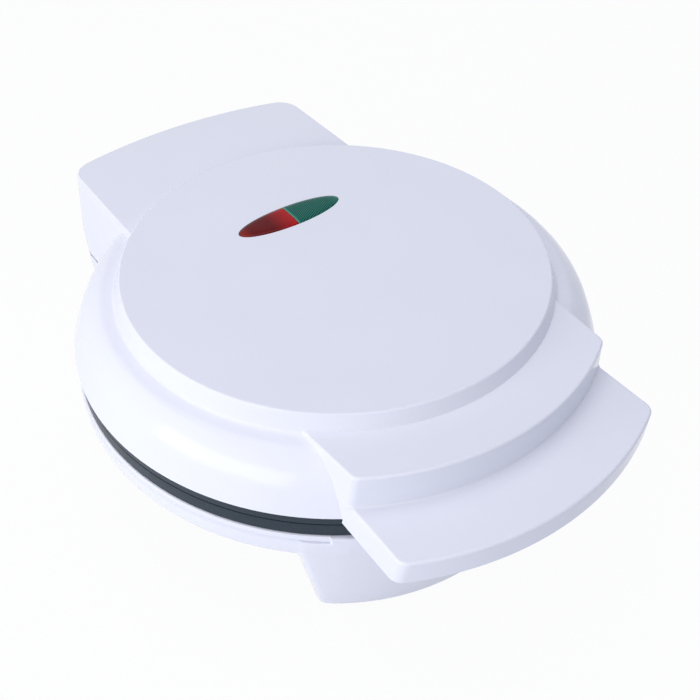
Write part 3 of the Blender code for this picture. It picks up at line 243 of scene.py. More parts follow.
# Hinge housing. Above the parting line it swells by the amounts of its belly, each at its height.
HOUSING_Z = DISC_TOP_Z - 4.9 * MM
LID_PARTING_Z = BASE_RIM_Z - 8.6 * MM
SKIRT_R = LID_RIM_R + 1.5 * MM
HOUSING_HALF = 58.7 * MM
HOUSING_CORNER = 11.0 * MM
HOUSING_REACH = 135.0 * MM
HOUSING_ARC_R = 204.7 * MM
HOUSING_EDGE_R = 0.9 * MM
HOUSING_DRAFT = 2.2 * MM
HOUSING_BELLY = (
    (LID_PARTING_Z, 1.9 * MM), (LID_PARTING_Z + 1.0 * MM, 2.2 * MM),
    (64.0 * MM, 2.5 * MM), (LID_RIM_Z + 0.4 * MM, 2.16 * MM),
)
HOUSING_HOLLOW_EDGE_R = 2.0 * MM
HOUSING_HOLLOW_DRAFT = 2.0 * MM
LEAD_PASSAGE_HALF = 20.0 * MM
LEAD_PASSAGE_LOW_Z = 77.6 * MM
LEAD_PASSAGE_TOP_Z = HOUSING_Z - 4.5 * MM

# Hinge. The lid's barrel stands between the base's two.
HINGE_Y = 138.0 * MM
HINGE_Z = BASE_RIM_Z - 9.0 * MM
BARREL_R = 4.5 * MM
BARREL_BORE_R = 2.3 * MM
BARREL_SPLIT_X = 14.0 * MM
BARREL_END_X = 34.0 * MM

LENS_Y = 34.0 * MM
LENS_HALF_LENGTH = 24.3 * MM
LENS_HALF_WIDTH = 6.7 * MM
LENS_HOLE_LOW_Z = DISC_TOP_Z - 4.5 * MM

# Screw posts inside the lid, which run a little way into its wall.
BORE_R = 1.8 * MM
POST_IN_WALL = 1.2 * MM
PLATE_POST_R = 3.1 * MM
PLATE_POST_HIGH = 5.8 * MM
PLATE_BORE_DEEP = 4.4 * MM
COVER_POST_R = 3.4 * MM
COVER_BORE_TOP_Z = HANDLE_Z - 2.5 * MM
HOLDER_POST_R = 3.0 * MM
HOLDER_POST_LOW_Z = 92.3 * MM
HOLDER_BORE_R = 1.6 * MM
HOLDER_BORE_TOP_Z = DISC_TOP_Z - 3.7 * MM


def fillet(before, corner, after, radius, steps):
    """The points of an arc that rounds a corner of a drawn line."""
    first = (before - corner).normalized()
    second = (after - corner).normalized()
    half = first.angle(second) / 2
    centre = corner + (first + second).normalized() * (radius / math.sin(half))
    start = corner + first * (radius / math.tan(half)) - centre
    end = corner + second * (radius / math.tan(half)) - centre
    sweep = start.angle_signed(end)
    return [centre + Matrix.Rotation(-sweep * step / steps, 2) @ start for step in range(steps + 1)]


def end_outline(half, reach, arc_r, corner, root, facing, root_arc_r=None, root_in=0.0):
    """Plan of a step, a leg or the housing: straight sides, rounded corners and a curved end.

    facing is 1 towards the back and -1 towards the front. root_in draws the near end's sides in, and a
    root arc makes that end round too.
    """
    arc_steps = 28
    corner_steps = 6
    centre = reach - arc_r

    def on_arc(x):
        return Vector((x, centre + math.sqrt(arc_r ** 2 - x ** 2)))

    # The arc's own points stop just short of its rounded corners.
    arc_half = half - 1.2 * corner
    arc = [on_arc(arc_half * (2 * step / arc_steps - 1)) for step in range(arc_steps + 1)]
    root_half = half - root_in
    side = root if root_arc_r is None else math.sqrt(root_arc_r ** 2 - root_half ** 2)
    left, right = Vector((-root_half, side)), Vector((root_half, side))
    points = fillet(left, on_arc(-half), arc[0], corner, corner_steps)
    points += arc
    points += fillet(arc[-1], on_arc(half), right, corner, corner_steps)
    points.append(right)
    if root_arc_r is not None:
        for step in range(1, arc_steps):
            x = root_half * (1 - 2 * step / arc_steps)
            points.append(Vector((x, math.sqrt(root_arc_r ** 2 - x ** 2))))
    points.append(left)
    return [(point.x, facing * point.y) for point in points]


def smooth_through(points, steps):
    """A curve that passes through every point, as a spline ruler does."""
    line = []
    for index in range(len(points) - 1):
        p0 = Vector(points[max(index - 1, 0)])
        p1, p2 = Vector(points[index]), Vector(points[index + 1])
        p3 = Vector(points[min(index + 2, len(points) - 1)])
        for step in range(steps):
            t = step / steps
            line.append(0.5 * (2 * p1 + (p2 - p0) * t + (2 * p0 - 5 * p1 + 4 * p2 - p3) * t ** 2
                               + (3 * p1 - p0 - 3 * p2 + p3) * t ** 3))
    line.append(Vector(points[-1]))
    return line


def inset_profile(profile, depth):
    """Move a turned profile inwards by a wall's thickness. It runs from the axis outwards and down."""
    moved = []
    for index, point in enumerate(profile):
        runs = []
        if index > 0:
            runs.append((point - profile[index - 1]).normalized())
        if index < len(profile) - 1:
            runs.append((profile[index + 1] - point).normalized())
        normals = [Vector((run.y, -run.x)) for run in runs]
        normal = sum(normals, Vector((0, 0))).normalized()
        moved.append(point + normal * (depth / normal.dot(normals[0])))
    return moved


def turned(profile, steps=192):
    """Spin a profile of (radius, height) points about the plate axis."""
    shape = bmesh.new()
    verts = [shape.verts.new((radius, 0, height)) for radius, height in profile]
    edges = [shape.edges.new(pair) for pair in zip(verts, verts[1:])]
    if profile[0][0] > 0:
        edges.append(shape.edges.new((verts[-1], verts[0])))
    bmesh.ops.spin(shape, geom=verts + edges, axis=(0, 0, 1), angle=FULL_TURN, steps=steps, use_merge=True)
    bmesh.ops.remove_doubles(shape, verts=shape.verts, dist=SLIVER)
    bmesh.ops.recalc_face_normals(shape, faces=shape.faces)
    return shape


def stacked(sections):
    """Bridge a stack of (outline, height) sections and cap both ends."""
    shape = bmesh.new()
    loops = []
    for outline, height in sections:
        verts = [shape.verts.new((x, y, height)) for x, y in outline]
        loops.append([shape.edges.new(pair) for pair in zip(verts, verts[1:] + verts[:1])])
    for low, high in zip(loops, loops[1:]):
        bmesh.ops.bridge_loops(shape, edges=low + high)
    bmesh.ops.contextual_create(shape, geom=loops[0])
    bmesh.ops.contextual_create(shape, geom=loops[-1])
    bmesh.ops.recalc_face_normals(shape, faces=shape.faces)
    return shape


def block(outline, low, high):
    """A straight block of one outline between two heights."""
    return stacked([(outline, low), (outline, high)])


def moulded(outline, low, high, edge, draft=0.0, foot=0.0, spread=0.0):
    """A block whose walls draw in towards the top, with a rounded top edge and, if asked, a flared foot.

    The spread is the lean of its sides alone.
    """
    def section(inset, height):
        return (outline(inset, spread * (high - height)) if spread else outline(inset)), height

    sections = []
    if foot:
        sections.append(section(-draft - foot, low - foot))
        for turn in (0, 22.5, 45, 67.5):
            angle = math.radians(turn)
            inset = -draft - foot * (1 - math.sin(angle))
            sections.append(section(inset, low + foot * (1 - math.cos(angle))))
    sections.append(section(-draft, low + foot))
    for turn in (0, 22.5, 45, 67.5, 90):
        angle = math.radians(turn)
        sections.append(section(edge * (1 - math.cos(angle)), high - edge * (1 - math.sin(angle))))
    return stacked(sections)


def bar(radius, start, end, steps=48):
    """A round bar from one point to another."""
    start = Vector(start)
    axis = Vector(end) - start
    place = Matrix.Translation(start + axis / 2) @ axis.to_track_quat("Z", "Y").to_matrix().to_4x4()
    shape = bmesh.new()
    bmesh.ops.create_cone(
        shape, cap_ends=True, segments=steps, radius1=radius, radius2=radius, depth=axis.length,
        matrix=place,
    )
    return shape


def post(radius, place, low, high, steps=48):
    """An upright bar at a place in plan."""
    return bar(radius, (*place, low), (*place, high), steps)


def hinge_bar(radius, start_x, end_x):
    """A bar on the hinge's axis."""
    return bar(radius, (start_x, HINGE_Y, HINGE_Z), (end_x, HINGE_Y, HINGE_Z))


def box_shape(low, high):
    """A box between two corners."""
    low = Vector(low)
    size = Vector(high) - low
    place = Matrix.Translation(low + size / 2) @ Matrix.Diagonal((*size, 1))
    shape = bmesh.new()
    bmesh.ops.create_cube(shape, size=1, matrix=place)
    return shape


def add_object(name, shape, collection=None):
    """Make an object of a bmesh, and free the bmesh."""
    mesh = bpy.data.meshes.new(name)
    shape.to_mesh(mesh)
    shape.free()
    item = bpy.data.objects.new(name, mesh)
    (collection or bpy.context.scene.collection).objects.link(item)
    return item


def finished(item):
    """Apply an object's modifiers to its mesh."""
    solid = item.evaluated_get(bpy.context.evaluated_depsgraph_get())
    mesh = bpy.data.meshes.new_from_object(solid)
    item.modifiers.clear()
    spent = item.data
    item.data = mesh
    bpy.data.meshes.remove(spent)
    mesh.name = item.name


def boolean(item, shapes, operation):
    """Weld shapes onto a piece, or cut them out of it, all in one go."""
    tools = bpy.data.collections.new("tools")
    bpy.context.scene.collection.children.link(tools)
    for shape in shapes:
        add_object("tool", shape, tools)
    step = item.modifiers.new("step", "BOOLEAN")
    step.operation = operation
    step.solver = "MANIFOLD"
    step.operand_type = "COLLECTION"
    step.collection = tools
    finished(item)
    for tool in list(tools.objects):
        bpy.data.meshes.remove(tool.data)
    bpy.data.collections.remove(tools)


def dress(item, body, material, node):
    """Clear a piece of slivers, move it from the plate axis to the frame, finish it and let it ride."""
    shape = bmesh.new()
    shape.from_mesh(item.data)
    bmesh.ops.remove_doubles(shape, verts=shape.verts, dist=SLIVER)
    bmesh.ops.dissolve_degenerate(shape, edges=shape.edges, dist=SLIVER)
    bmesh.ops.translate(shape, verts=shape.verts, vec=(0, AXIS_Y, 0))
    shape.to_mesh(item.data)
    shape.free()
    item.data.shade_smooth()
    item.data.set_sharp_from_angle(angle=SHARP_ANGLE)
    item.data.materials.clear()
    item.data.materials.append(material)
    even = item.modifiers.new("even shading", "WEIGHTED_NORMAL")
    even.keep_sharp = True
    finished(item)
    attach(item, body)
    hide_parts(node)


def shoulder_points(shares):
    """Points of the shoulder, from the foot of the disc's step to the rim."""
    width, drop = LID_RIM_R - SHOULDER_START_R, SHOULDER_START_Z - LID_RIM_Z
    return [(SHOULDER_START_R + out * width, SHOULDER_START_Z - down * drop) for out, down in shares]


def lid_profile():
    """Outer profile of the round part of the lid, from the middle of the disc to its rim."""
    top_edge = Vector((DISC_R, DISC_TOP_Z))
    foot = Vector((SHOULDER_START_R, SHOULDER_START_Z))
    shoulder = shoulder_points(SHOULDER_SHARES)
    points = [Vector((0, DISC_TOP_Z))]
    points += fillet(points[0], top_edge, foot, DISC_EDGE_R, steps=6)
    points += fillet(top_edge, foot, Vector(shoulder[0]), STEP_FOOT_R, steps=5)[:-1]
    points += smooth_through(shoulder, steps=4)
    points.append(Vector((0, LID_RIM_Z)))
    return points


def tongue_outline(inset, widen=0.0):
    """Only the tongue's front has a flared foot, because its sides run on into the handle's."""
    reach = TONGUE_REACH - inset
    half = TONGUE_HALF + widen - max(inset, 0.0)
    return end_outline(half, reach, reach, TONGUE_CORNER, DISC_R / 2, -1, root_in=-TONGUE_FLARE)


def handle_outline(inset, widen=0.0, root_arc_r=None):
    """Plan of the handle. Its front is an arc about a point a little ahead of the plate axis."""
    reach = HANDLE_REACH - inset
    corner = HANDLE_CORNER - min(inset, HANDLE_CORNER_LOSS)
    return end_outline(
        HANDLE_HALF + widen - inset, reach, reach - HANDLE_ARC_AHEAD, corner, DISC_R / 2, -1, root_arc_r,
    )


def housing_outline(inset, root=DISC_R / 2, root_arc_r=None):
    """Plan of the hinge housing."""
    return end_outline(
        HOUSING_HALF - inset, HOUSING_REACH - inset, HOUSING_ARC_R - inset, HOUSING_CORNER - inset,
        root, 1, root_arc_r,
    )


def ellipse(half_length, half_width, steps=96):
    """Plan of the lenses' opening."""
    turns = [FULL_TURN * step / steps for step in range(steps)]
    return [(half_length * math.cos(turn), LENS_Y + half_width * math.sin(turn)) for turn in turns]


def places_of(name, ends):
    """Where the CAD's like small parts stand, seen from the plate axis."""
    middles = []
    for end in ends:
        low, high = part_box(f"{name}_{end}")
        middles.append(((low.x + high.x) / 2, (low.y + high.y) / 2 - AXIS_Y))
    return middles


FOUR = (1, 2, 3, 4)
SIDES = ("left", "right")
plate_screws = places_of("upper_plate_screw", FOUR)
cover_screws = places_of("handle_cover_screw", SIDES)
holder_screws = places_of("lamp_holder_screw", SIDES)

lid = add_object("lid_moulding", turned(lid_profile()))
boolean(lid, [
    moulded(tongue_outline, HANDLE_Z, TONGUE_Z, TONGUE_EDGE_R, TONGUE_DRAFT, TONGUE_FOOT_R, TONGUE_SPREAD),
    stacked([(tongue_outline(TONGUE_TUCK, TONGUE_TUCK + TONGUE_SPREAD * (TONGUE_Z - height)), height)
             for height in (LID_RIM_Z + FIT, HANDLE_Z + OVERRUN)]),
    stacked([(handle_outline(inset, HANDLE_SPREAD * (HANDLE_Z - height), LID_RIM_R + FIT), height)
             for height, inset in HANDLE_SKIRT]),
    moulded(handle_outline, LID_RIM_Z, HANDLE_Z, HANDLE_EDGE_R, spread=HANDLE_SPREAD),
    moulded(housing_outline, LID_RIM_Z, HOUSING_Z, HOUSING_EDGE_R, HOUSING_DRAFT),
    stacked([(housing_outline(-swell, 0, SKIRT_R), height) for height, swell in HOUSING_BELLY]),
    hinge_bar(BARREL_R, -BARREL_SPLIT_X, BARREL_SPLIT_X),
], "UNION")

outer_face = [(0, DISC_TOP_Z), (DISC_R, DISC_TOP_Z), (SHOULDER_START_R, SHOULDER_START_Z)]
outer_face += shoulder_points(SHOULDER_SHARES[1::2])
lid_hollow = inset_profile([Vector(corner) for corner in outer_face], LID_WALL)
lid_hollow.append(Vector((lid_hollow[-1].x, LID_RIM_Z - OVERRUN)))
lid_hollow.append(Vector((0, LID_RIM_Z - OVERRUN)))
handle_hollow = handle_outline(LID_WALL, 0.0, HANDLE_ROOT_R)
cover_ledge = handle_outline(COVER_LEDGE, 0.0, HANDLE_ROOT_R - FIT)
lens_hole = ellipse(LENS_HALF_LENGTH + FIT, LENS_HALF_WIDTH + FIT)
boolean(lid, [
    turned(lid_hollow, steps=128),
    moulded(lambda inset: tongue_outline(LID_WALL + inset),
            HANDLE_Z, TONGUE_Z - LID_WALL, TONGUE_HOLLOW_EDGE_R),
    block(handle_hollow, HANDLE_LOW_Z - OVERRUN, HANDLE_Z - LID_WALL),
    block(cover_ledge, HANDLE_LOW_Z - OVERRUN, COVER_LEDGE_Z),
    moulded(lambda inset: housing_outline(LID_WALL + inset, 0, SKIRT_R + LID_WALL),
            LID_PARTING_Z - OVERRUN, HOUSING_Z - LID_WALL, HOUSING_HOLLOW_EDGE_R, HOUSING_HOLLOW_DRAFT),
    box_shape((-LEAD_PASSAGE_HALF, DISC_R, LEAD_PASSAGE_LOW_Z),
              (LEAD_PASSAGE_HALF, SKIRT_R + LID_WALL + OVERRUN, LEAD_PASSAGE_TOP_Z)),
    block(lens_hole, LENS_HOLE_LOW_Z, DISC_TOP_Z + OVERRUN),
    hinge_bar(BARREL_R + FIT, -BARREL_END_X - FIT, -BARREL_SPLIT_X),
    hinge_bar(BARREL_R + FIT, BARREL_SPLIT_X, BARREL_END_X + FIT),
], "DIFFERENCE")
boolean(
    lid,
    [post(PLATE_POST_R, place, LID_RIM_Z, LID_RIM_Z + PLATE_POST_HIGH) for place in plate_screws]
    + [post(HOLDER_POST_R, place, HOLDER_POST_LOW_Z, DISC_TOP_Z - POST_IN_WALL) for place in holder_screws]
    + [post(COVER_POST_R, place, COVER_LEDGE_Z, HANDLE_Z - POST_IN_WALL) for place in cover_screws],
    "UNION",
)
boolean(
    lid,
    [post(BORE_R, place, LID_RIM_Z - OVERRUN, LID_RIM_Z + PLATE_BORE_DEEP) for place in plate_screws]
    + [post(BORE_R, place, HANDLE_LOW_Z, COVER_BORE_TOP_Z) for place in cover_screws]
    + [post(HOLDER_BORE_R, place, HOLDER_POST_LOW_Z - OVERRUN, HOLDER_BORE_TOP_Z) for place in holder_screws]
    + [hinge_bar(BARREL_BORE_R, -BARREL_END_X - OVERRUN, BARREL_END_X + OVERRUN)],
    "DIFFERENCE",
)


def new_finish(name, colour, roughness, metallic=0.0, **sockets):
    """A material with its constants on the shader, and the object's own coordinates for its patterns."""
    material = bpy.data.materials.new(name)
    material.use_nodes = True
    tree = material.node_tree
    tree.nodes.clear()
    settings = {"Base Color": linear(colour), "Roughness": roughness, "Metallic": metallic}
    settings.update({key.replace("_", " "): value for key, value in sockets.items()})
    shader = add_node(tree, "ShaderNodeBsdfPrincipled", settings)
    add_node(tree, "ShaderNodeOutputMaterial", Surface=shader.outputs[0])
    add_node(tree, "ShaderNodeTexCoord")
    return material


def ends_of(material):
    """The two ends that a pattern runs between: the object's coordinates and the shader's inputs."""
    nodes = material.node_tree.nodes
    return nodes["Texture Coordinate"].outputs["Object"], nodes["Principled BSDF"].inputs


def set_stops(ramp, stops):
    """Give a colour ramp its (place, colour) stops."""
    while len(ramp.elements) < len(stops):
        ramp.elements.new(0.5)
    for element, (position, colour) in zip(ramp.elements, stops):
        element.position = position
        element.color = linear(colour)


def make_uneven(
    material, size, colours=None, roughness=None, depth=None, strength=1.0, detail=2.0, stretch=None,
):
    """Let a finish differ from place to place, by noise with grains of about a given size in metres.

    It can shade the colour, move the roughness between two values, or give the surface a depth of relief.
    """
    tree = material.node_tree
    place, inputs = ends_of(material)
    if stretch:
        place = add_node(tree, "ShaderNodeMapping", {"Scale": stretch}, Vector=place).outputs[0]
    noise = add_node(tree, "ShaderNodeTexNoise", {"Scale": 1 / size, "Detail": detail}, Vector=place)
    grains = noise.outputs["Fac"]
    if colours:
        ramp = add_node(tree, "ShaderNodeValToRGB", Fac=grains)
        set_stops(ramp.color_ramp, colours)
        tree.links.new(ramp.outputs[0], inputs["Base Color"])
    if roughness:
        spread = add_node(tree, "ShaderNodeMapRange", {3: roughness[0], 4: roughness[1]}, _0=grains)
        tree.links.new(spread.outputs[0], inputs["Roughness"])
    if depth:
        bump = add_node(tree, "ShaderNodeBump", {"Distance": depth, "Strength": strength}, Height=grains)
        tree.links.new(bump.outputs[0], inputs["Normal"])


# White ABS from a polished mould: a cool white with clear soft reflections. The melt's flow leaves a faint
# unevenness some centimetres across, and the skin a fine waviness, drawn a little coarser than it is.
white_abs = new_finish("white moulded ABS", "e9eaf3", 0.15, IOR=1.53, Specular_IOR_Level=0.18)
make_uneven(white_abs, 45 * MM, colours=((0.3, "e8e9f2"), (0.7, "eaebf4")))
make_uneven(white_abs, 12 * MM, roughness=(0.13, 0.18))
make_uneven(white_abs, 1.6 * MM, depth=0.004 * MM, strength=0.5)
dress(lid, "lid", white_abs, "lid_cover")

# Base
# The other large moulding: a shallow bowl with a rolled lip, a front leg below the handle and a rear leg
# that meets the lid's half of the hinge housing at a straight parting line.
BASE_WALL = 2.4 * MM
BASE_RIM_R = 106.1 * MM
PARTING_Z = HINGE_Z
FOOT_PROUD = 1.5 * MM
LIP_R = 107.1 * MM
LIP_LOW_Z = BASE_RIM_Z - 2.6 * MM
LIP = (
    (0.0, BASE_RIM_Z), (BASE_RIM_R - 0.2 * MM, BASE_RIM_Z), (LIP_R - 0.3 * MM, BASE_RIM_Z - 0.3 * MM),
    (LIP_R, BASE_RIM_Z - 0.9 * MM), (LIP_R, LIP_LOW_Z), (LIP_R - 0.8 * MM, LIP_LOW_Z - 0.4 * MM),
)
BELLY_R = 107.4 * MM
BELLY_TOP_Z = LIP_LOW_Z - 1.2 * MM
BOWL_FLOOR_R = 62.0 * MM
BOWL_FLOOR_Z = 33.0 * MM
BOWL_SHARES = (
    (1.0, 0.319), (0.97, 0.430), (0.86, 0.615), (0.69, 0.770), (0.45, 0.905), (0.22, 0.975), (0.0, 1.0),
)

# A leg's levels hold a height, the share of the way down to its foot, and an inset for its rounded edges.
# The leg's top, which is straight, has only a height and an inset.
FRONT_LEG_TOP_R = 107.9 * MM
FRONT_LEG_DRAW_IN = 10.9 * MM
FRONT_LEG_FOOT_HALF = 61.9 * MM
FRONT_LEG_SPREAD = 11.3 * MM
FRONT_LEG_DEPTH = 20.4 * MM
FRONT_LEG_DEPTH_LOSS = 10.6 * MM
FRONT_LEG_CORNER = 5.0 * MM
FRONT_LEG_SIDE_LEAN = 0.7 / 3
FRONT_LEG_LEVELS = (
    (FOOT_PROUD, 1.0, 1.2 * MM), (1.8 * MM, 0.99, 0.5 * MM), (2.7 * MM, 0.97, 0.1 * MM),
    (PARTING_Z, 0.0, 0.0), (LIP_LOW_Z - 1.0 * MM, 0.0, 0.0), (LIP_LOW_Z - 0.7 * MM, 0.0, 0.3 * MM),
)
LEG_TOP_HALF = 63.0 * MM
LEG_TOP_ROOT = 80.0 * MM
LEG_TOP_CORNER = 0.5 * MM
LEG_TOP_LEVELS = (
    (PARTING_Z, 0.0), (BASE_RIM_Z - 1.4 * MM, 0.0),
    (BASE_RIM_Z - 0.6 * MM, 0.4 * MM), (BASE_RIM_Z - 0.2 * MM, 1.1 * MM),
)
REAR_LEG_ROOT = 78.0 * MM
REAR_LEG_SWELL = 2.4 * MM
REAR_LEG_TAPER = 2.6 * MM
REAR_LEG_LEVELS = (
    (FOOT_PROUD, 1.0, 1.2 * MM), (FOOT_PROUD + 0.3 * MM, 1.0, 0.3 * MM), (FOOT_PROUD + 1.2 * MM, 1.0, 0.0),
    (PARTING_Z - 1.0 * MM, 0.0, 0.0), (PARTING_Z - 0.4 * MM, 0.0, FIT),
)
POCKET_LOW_Z = FOOT_PROUD + 4.0 * MM
FRONT_POCKET_TOP_Z = 48.2 * MM
REAR_POCKET_TOP_Z = 46.2 * MM
REAR_POCKET_ROOT = REAR_LEG_ROOT + BASE_WALL

CORD_HOLE_R = 6.5 * MM
CORD_HOLE_START = (30.0 * MM, 124.0 * MM, 22.0 * MM)
CORD_HOLE_END = (30.0 * MM, 144.0 * MM, 22.0 * MM)
FOOT_SOCKET_R = 6.5 * MM
FOOT_SOCKET_DEEP = 2.0 * MM
BASE_POST_HIGH = 11.0 * MM


def bowl_wall():
    """The bowl's outer wall from below the lip to the middle of its floor."""
    spread, depth = BELLY_R - BOWL_FLOOR_R, BASE_RIM_Z - BOWL_FLOOR_Z
    wall = [(BELLY_R, BELLY_TOP_Z)]
    wall += [(BOWL_FLOOR_R + out * spread, BASE_RIM_Z - down * depth) for out, down in BOWL_SHARES]
    return smooth_through(wall, steps=3) + [Vector((0, BOWL_FLOOR_Z))]


def front_leg_outline(low_share, inset):
    """Plan of the front leg, whose sides run towards the plate axis."""
    half = FRONT_LEG_FOOT_HALF + (1 - low_share) * FRONT_LEG_SPREAD
    radius = FRONT_LEG_TOP_R - low_share * FRONT_LEG_DRAW_IN
    depth = FRONT_LEG_DEPTH - low_share * FRONT_LEG_DEPTH_LOSS
    root = math.sqrt(radius ** 2 - half ** 2) - depth + inset
    return end_outline(
        half - inset, radius - inset, radius - inset, FRONT_LEG_CORNER - inset / 2, root, -1,
        root_in=FRONT_LEG_SIDE_LEAN * (radius - root),
    )


def leg_top_outline(inset):
    """The leg's face goes up to the rim between the two ends of the lip."""
    reach = FRONT_LEG_TOP_R - inset
    return end_outline(LEG_TOP_HALF, reach, reach, LEG_TOP_CORNER, LEG_TOP_ROOT, -1)


def rear_leg_outline(low_share, inset, root=REAR_LEG_ROOT, root_arc_r=None):
    """Plan of the rear leg, which swells beyond the hinge housing and draws in again to its foot."""
    return housing_outline(inset - REAR_LEG_SWELL + low_share * REAR_LEG_TAPER, root, root_arc_r)


base = add_object("base_moulding", turned([Vector(point) for point in LIP] + bowl_wall()))
boolean(base, [
    stacked([(front_leg_outline(share, inset), height) for height, share, inset in FRONT_LEG_LEVELS]),
    stacked([(leg_top_outline(inset), height) for height, inset in LEG_TOP_LEVELS]),
    stacked([(rear_leg_outline(share, inset), height) for height, share, inset in REAR_LEG_LEVELS]),
    hinge_bar(BARREL_R, -BARREL_END_X, BARREL_END_X),
], "UNION")

opening_r, opening_z = BASE_RIM_R - BASE_WALL, BASE_RIM_Z + OVERRUN
bowl_hollow = [Vector((0, opening_z)), Vector((opening_r, opening_z))]
bowl_hollow += inset_profile(bowl_wall()[1:], BASE_WALL)
pocket_mouth = rear_leg_outline(0.0, BASE_WALL + FIT, 0, BELLY_R + BASE_WALL / 2)
boolean(
    base,
    [
        turned(bowl_hollow, steps=128),
        stacked([(front_leg_outline(1.0, BASE_WALL), POCKET_LOW_Z),
                 (front_leg_outline(0.0, BASE_WALL), FRONT_POCKET_TOP_Z)]),
        stacked([(rear_leg_outline(1.0, BASE_WALL, REAR_POCKET_ROOT), POCKET_LOW_Z),
                 (rear_leg_outline(0.0, BASE_WALL, REAR_POCKET_ROOT), REAR_POCKET_TOP_Z)]),
        block(pocket_mouth, REAR_POCKET_TOP_Z - OVERRUN, PARTING_Z + OVERRUN),
        bar(CORD_HOLE_R, CORD_HOLE_START, CORD_HOLE_END),
        hinge_bar(BARREL_R + FIT, -BARREL_SPLIT_X - FIT, BARREL_SPLIT_X + FIT),
    ]
    + [post(FOOT_SOCKET_R, place, -OVERRUN / 2, FOOT_PROUD + FOOT_SOCKET_DEEP)
       for place in places_of("rubber_foot", FOUR)],
    "DIFFERENCE",
)
boolean(
    base,
    [post(PLATE_POST_R, place, BASE_RIM_Z - BASE_POST_HIGH, BASE_RIM_Z) for place in plate_screws],
    "UNION",
)
boolean(
    base,
    [post(BORE_R, place, BASE_RIM_Z - PLATE_BORE_DEEP, BASE_RIM_Z + OVERRUN / 2) for place in plate_screws]
    + [hinge_bar(BARREL_BORE_R, -BARREL_END_X - OVERRUN, BARREL_END_X + OVERRUN)],
    "DIFFERENCE",
)
dress(base, "base", white_abs, "base_shell")

# Waffle plates
# Cast aluminium with a dark non-stick coating: a flat flange with a turned edge, a sloping wall, a raised
# cross and rows of square pegs with rounded corners. The flange edges show as the dark band of the maker.
SPLIT_Z = 67.4 * MM
SEAL_GAP = 0.12 * MM
PLATE_R = 106.5 * MM
CAVITY_R = 95.5 * MM
CAVITY_FOOT_R = CAVITY_R - 2.5 * MM
FLOOR_DEPTH = 9.2 * MM
BACK_DEPTH = 11.7 * MM
LOWER_FLANGE = 5.7 * MM
UPPER_FLANGE = 3.6 * MM
HEAD_SINK_R = 2.9 * MM
HEAD_SINK_DEEP = 1.7 * MM

# Depths go from the split between the plates into a plate. The levels of the cross and of a peg hold a half
# width and a depth, from the root in the floor to the top.
RIB_ROOT = FLOOR_DEPTH + 1.0 * MM
RIB_TOP = FLOOR_DEPTH - 6.0 * MM
CROSS_REACH = CAVITY_R - 1.5 * MM
CROSS_CORNER = 1.2 * MM
CROSS = (
    (2.7 * MM, RIB_ROOT), (2.3 * MM, FLOOR_DEPTH - 1.0 * MM),
    (1.6 * MM, RIB_TOP + 0.4 * MM), (1.25 * MM, RIB_TOP),
)
PEG_PITCH = 19.0 * MM
PEG_ROWS = 5
FIRST_PEG = 13.75 * MM
PEG_REACH = 8.84 * MM
PEG_CORNER = 1.5 * MM
PEG = (
    (6.9 * MM, RIB_ROOT), (6.3 * MM, FLOOR_DEPTH - 0.3 * MM), (5.9 * MM, FLOOR_DEPTH - 1.4 * MM),
    (4.75 * MM, RIB_TOP + 0.9 * MM), (4.45 * MM, RIB_TOP + 0.25 * MM), (3.9 * MM, RIB_TOP),
)


def peg_outline(x, y, half):
    """Plan of a peg about its middle, with rounded corners."""
    straight = half - PEG_CORNER
    points = []
    for quarter in range(4):
        for step in range(5):
            turn = math.pi / 2 * (quarter + step / 4)
            side_x = 1 if quarter in (0, 3) else -1
            side_y = 1 if quarter in (0, 1) else -1
            points.append((x + side_x * straight + PEG_CORNER * math.cos(turn),
                           y + side_y * straight + PEG_CORNER * math.sin(turn)))
    return points


def cross_outline(half):
    """Plan of the cross, whose inner corners are rounded."""
    points = []
    for quarter in range(4):
        turn = Matrix.Rotation(math.pi / 2 * quarter, 2)
        arm = [Vector((CROSS_REACH, -half)), Vector((CROSS_REACH, half))]
        arm += fillet(arm[-1], Vector((half, half)), Vector((half, CROSS_REACH)), CROSS_CORNER, steps=4)
        points += [turn @ point for point in arm]
    return [(point.x, point.y) for point in points]


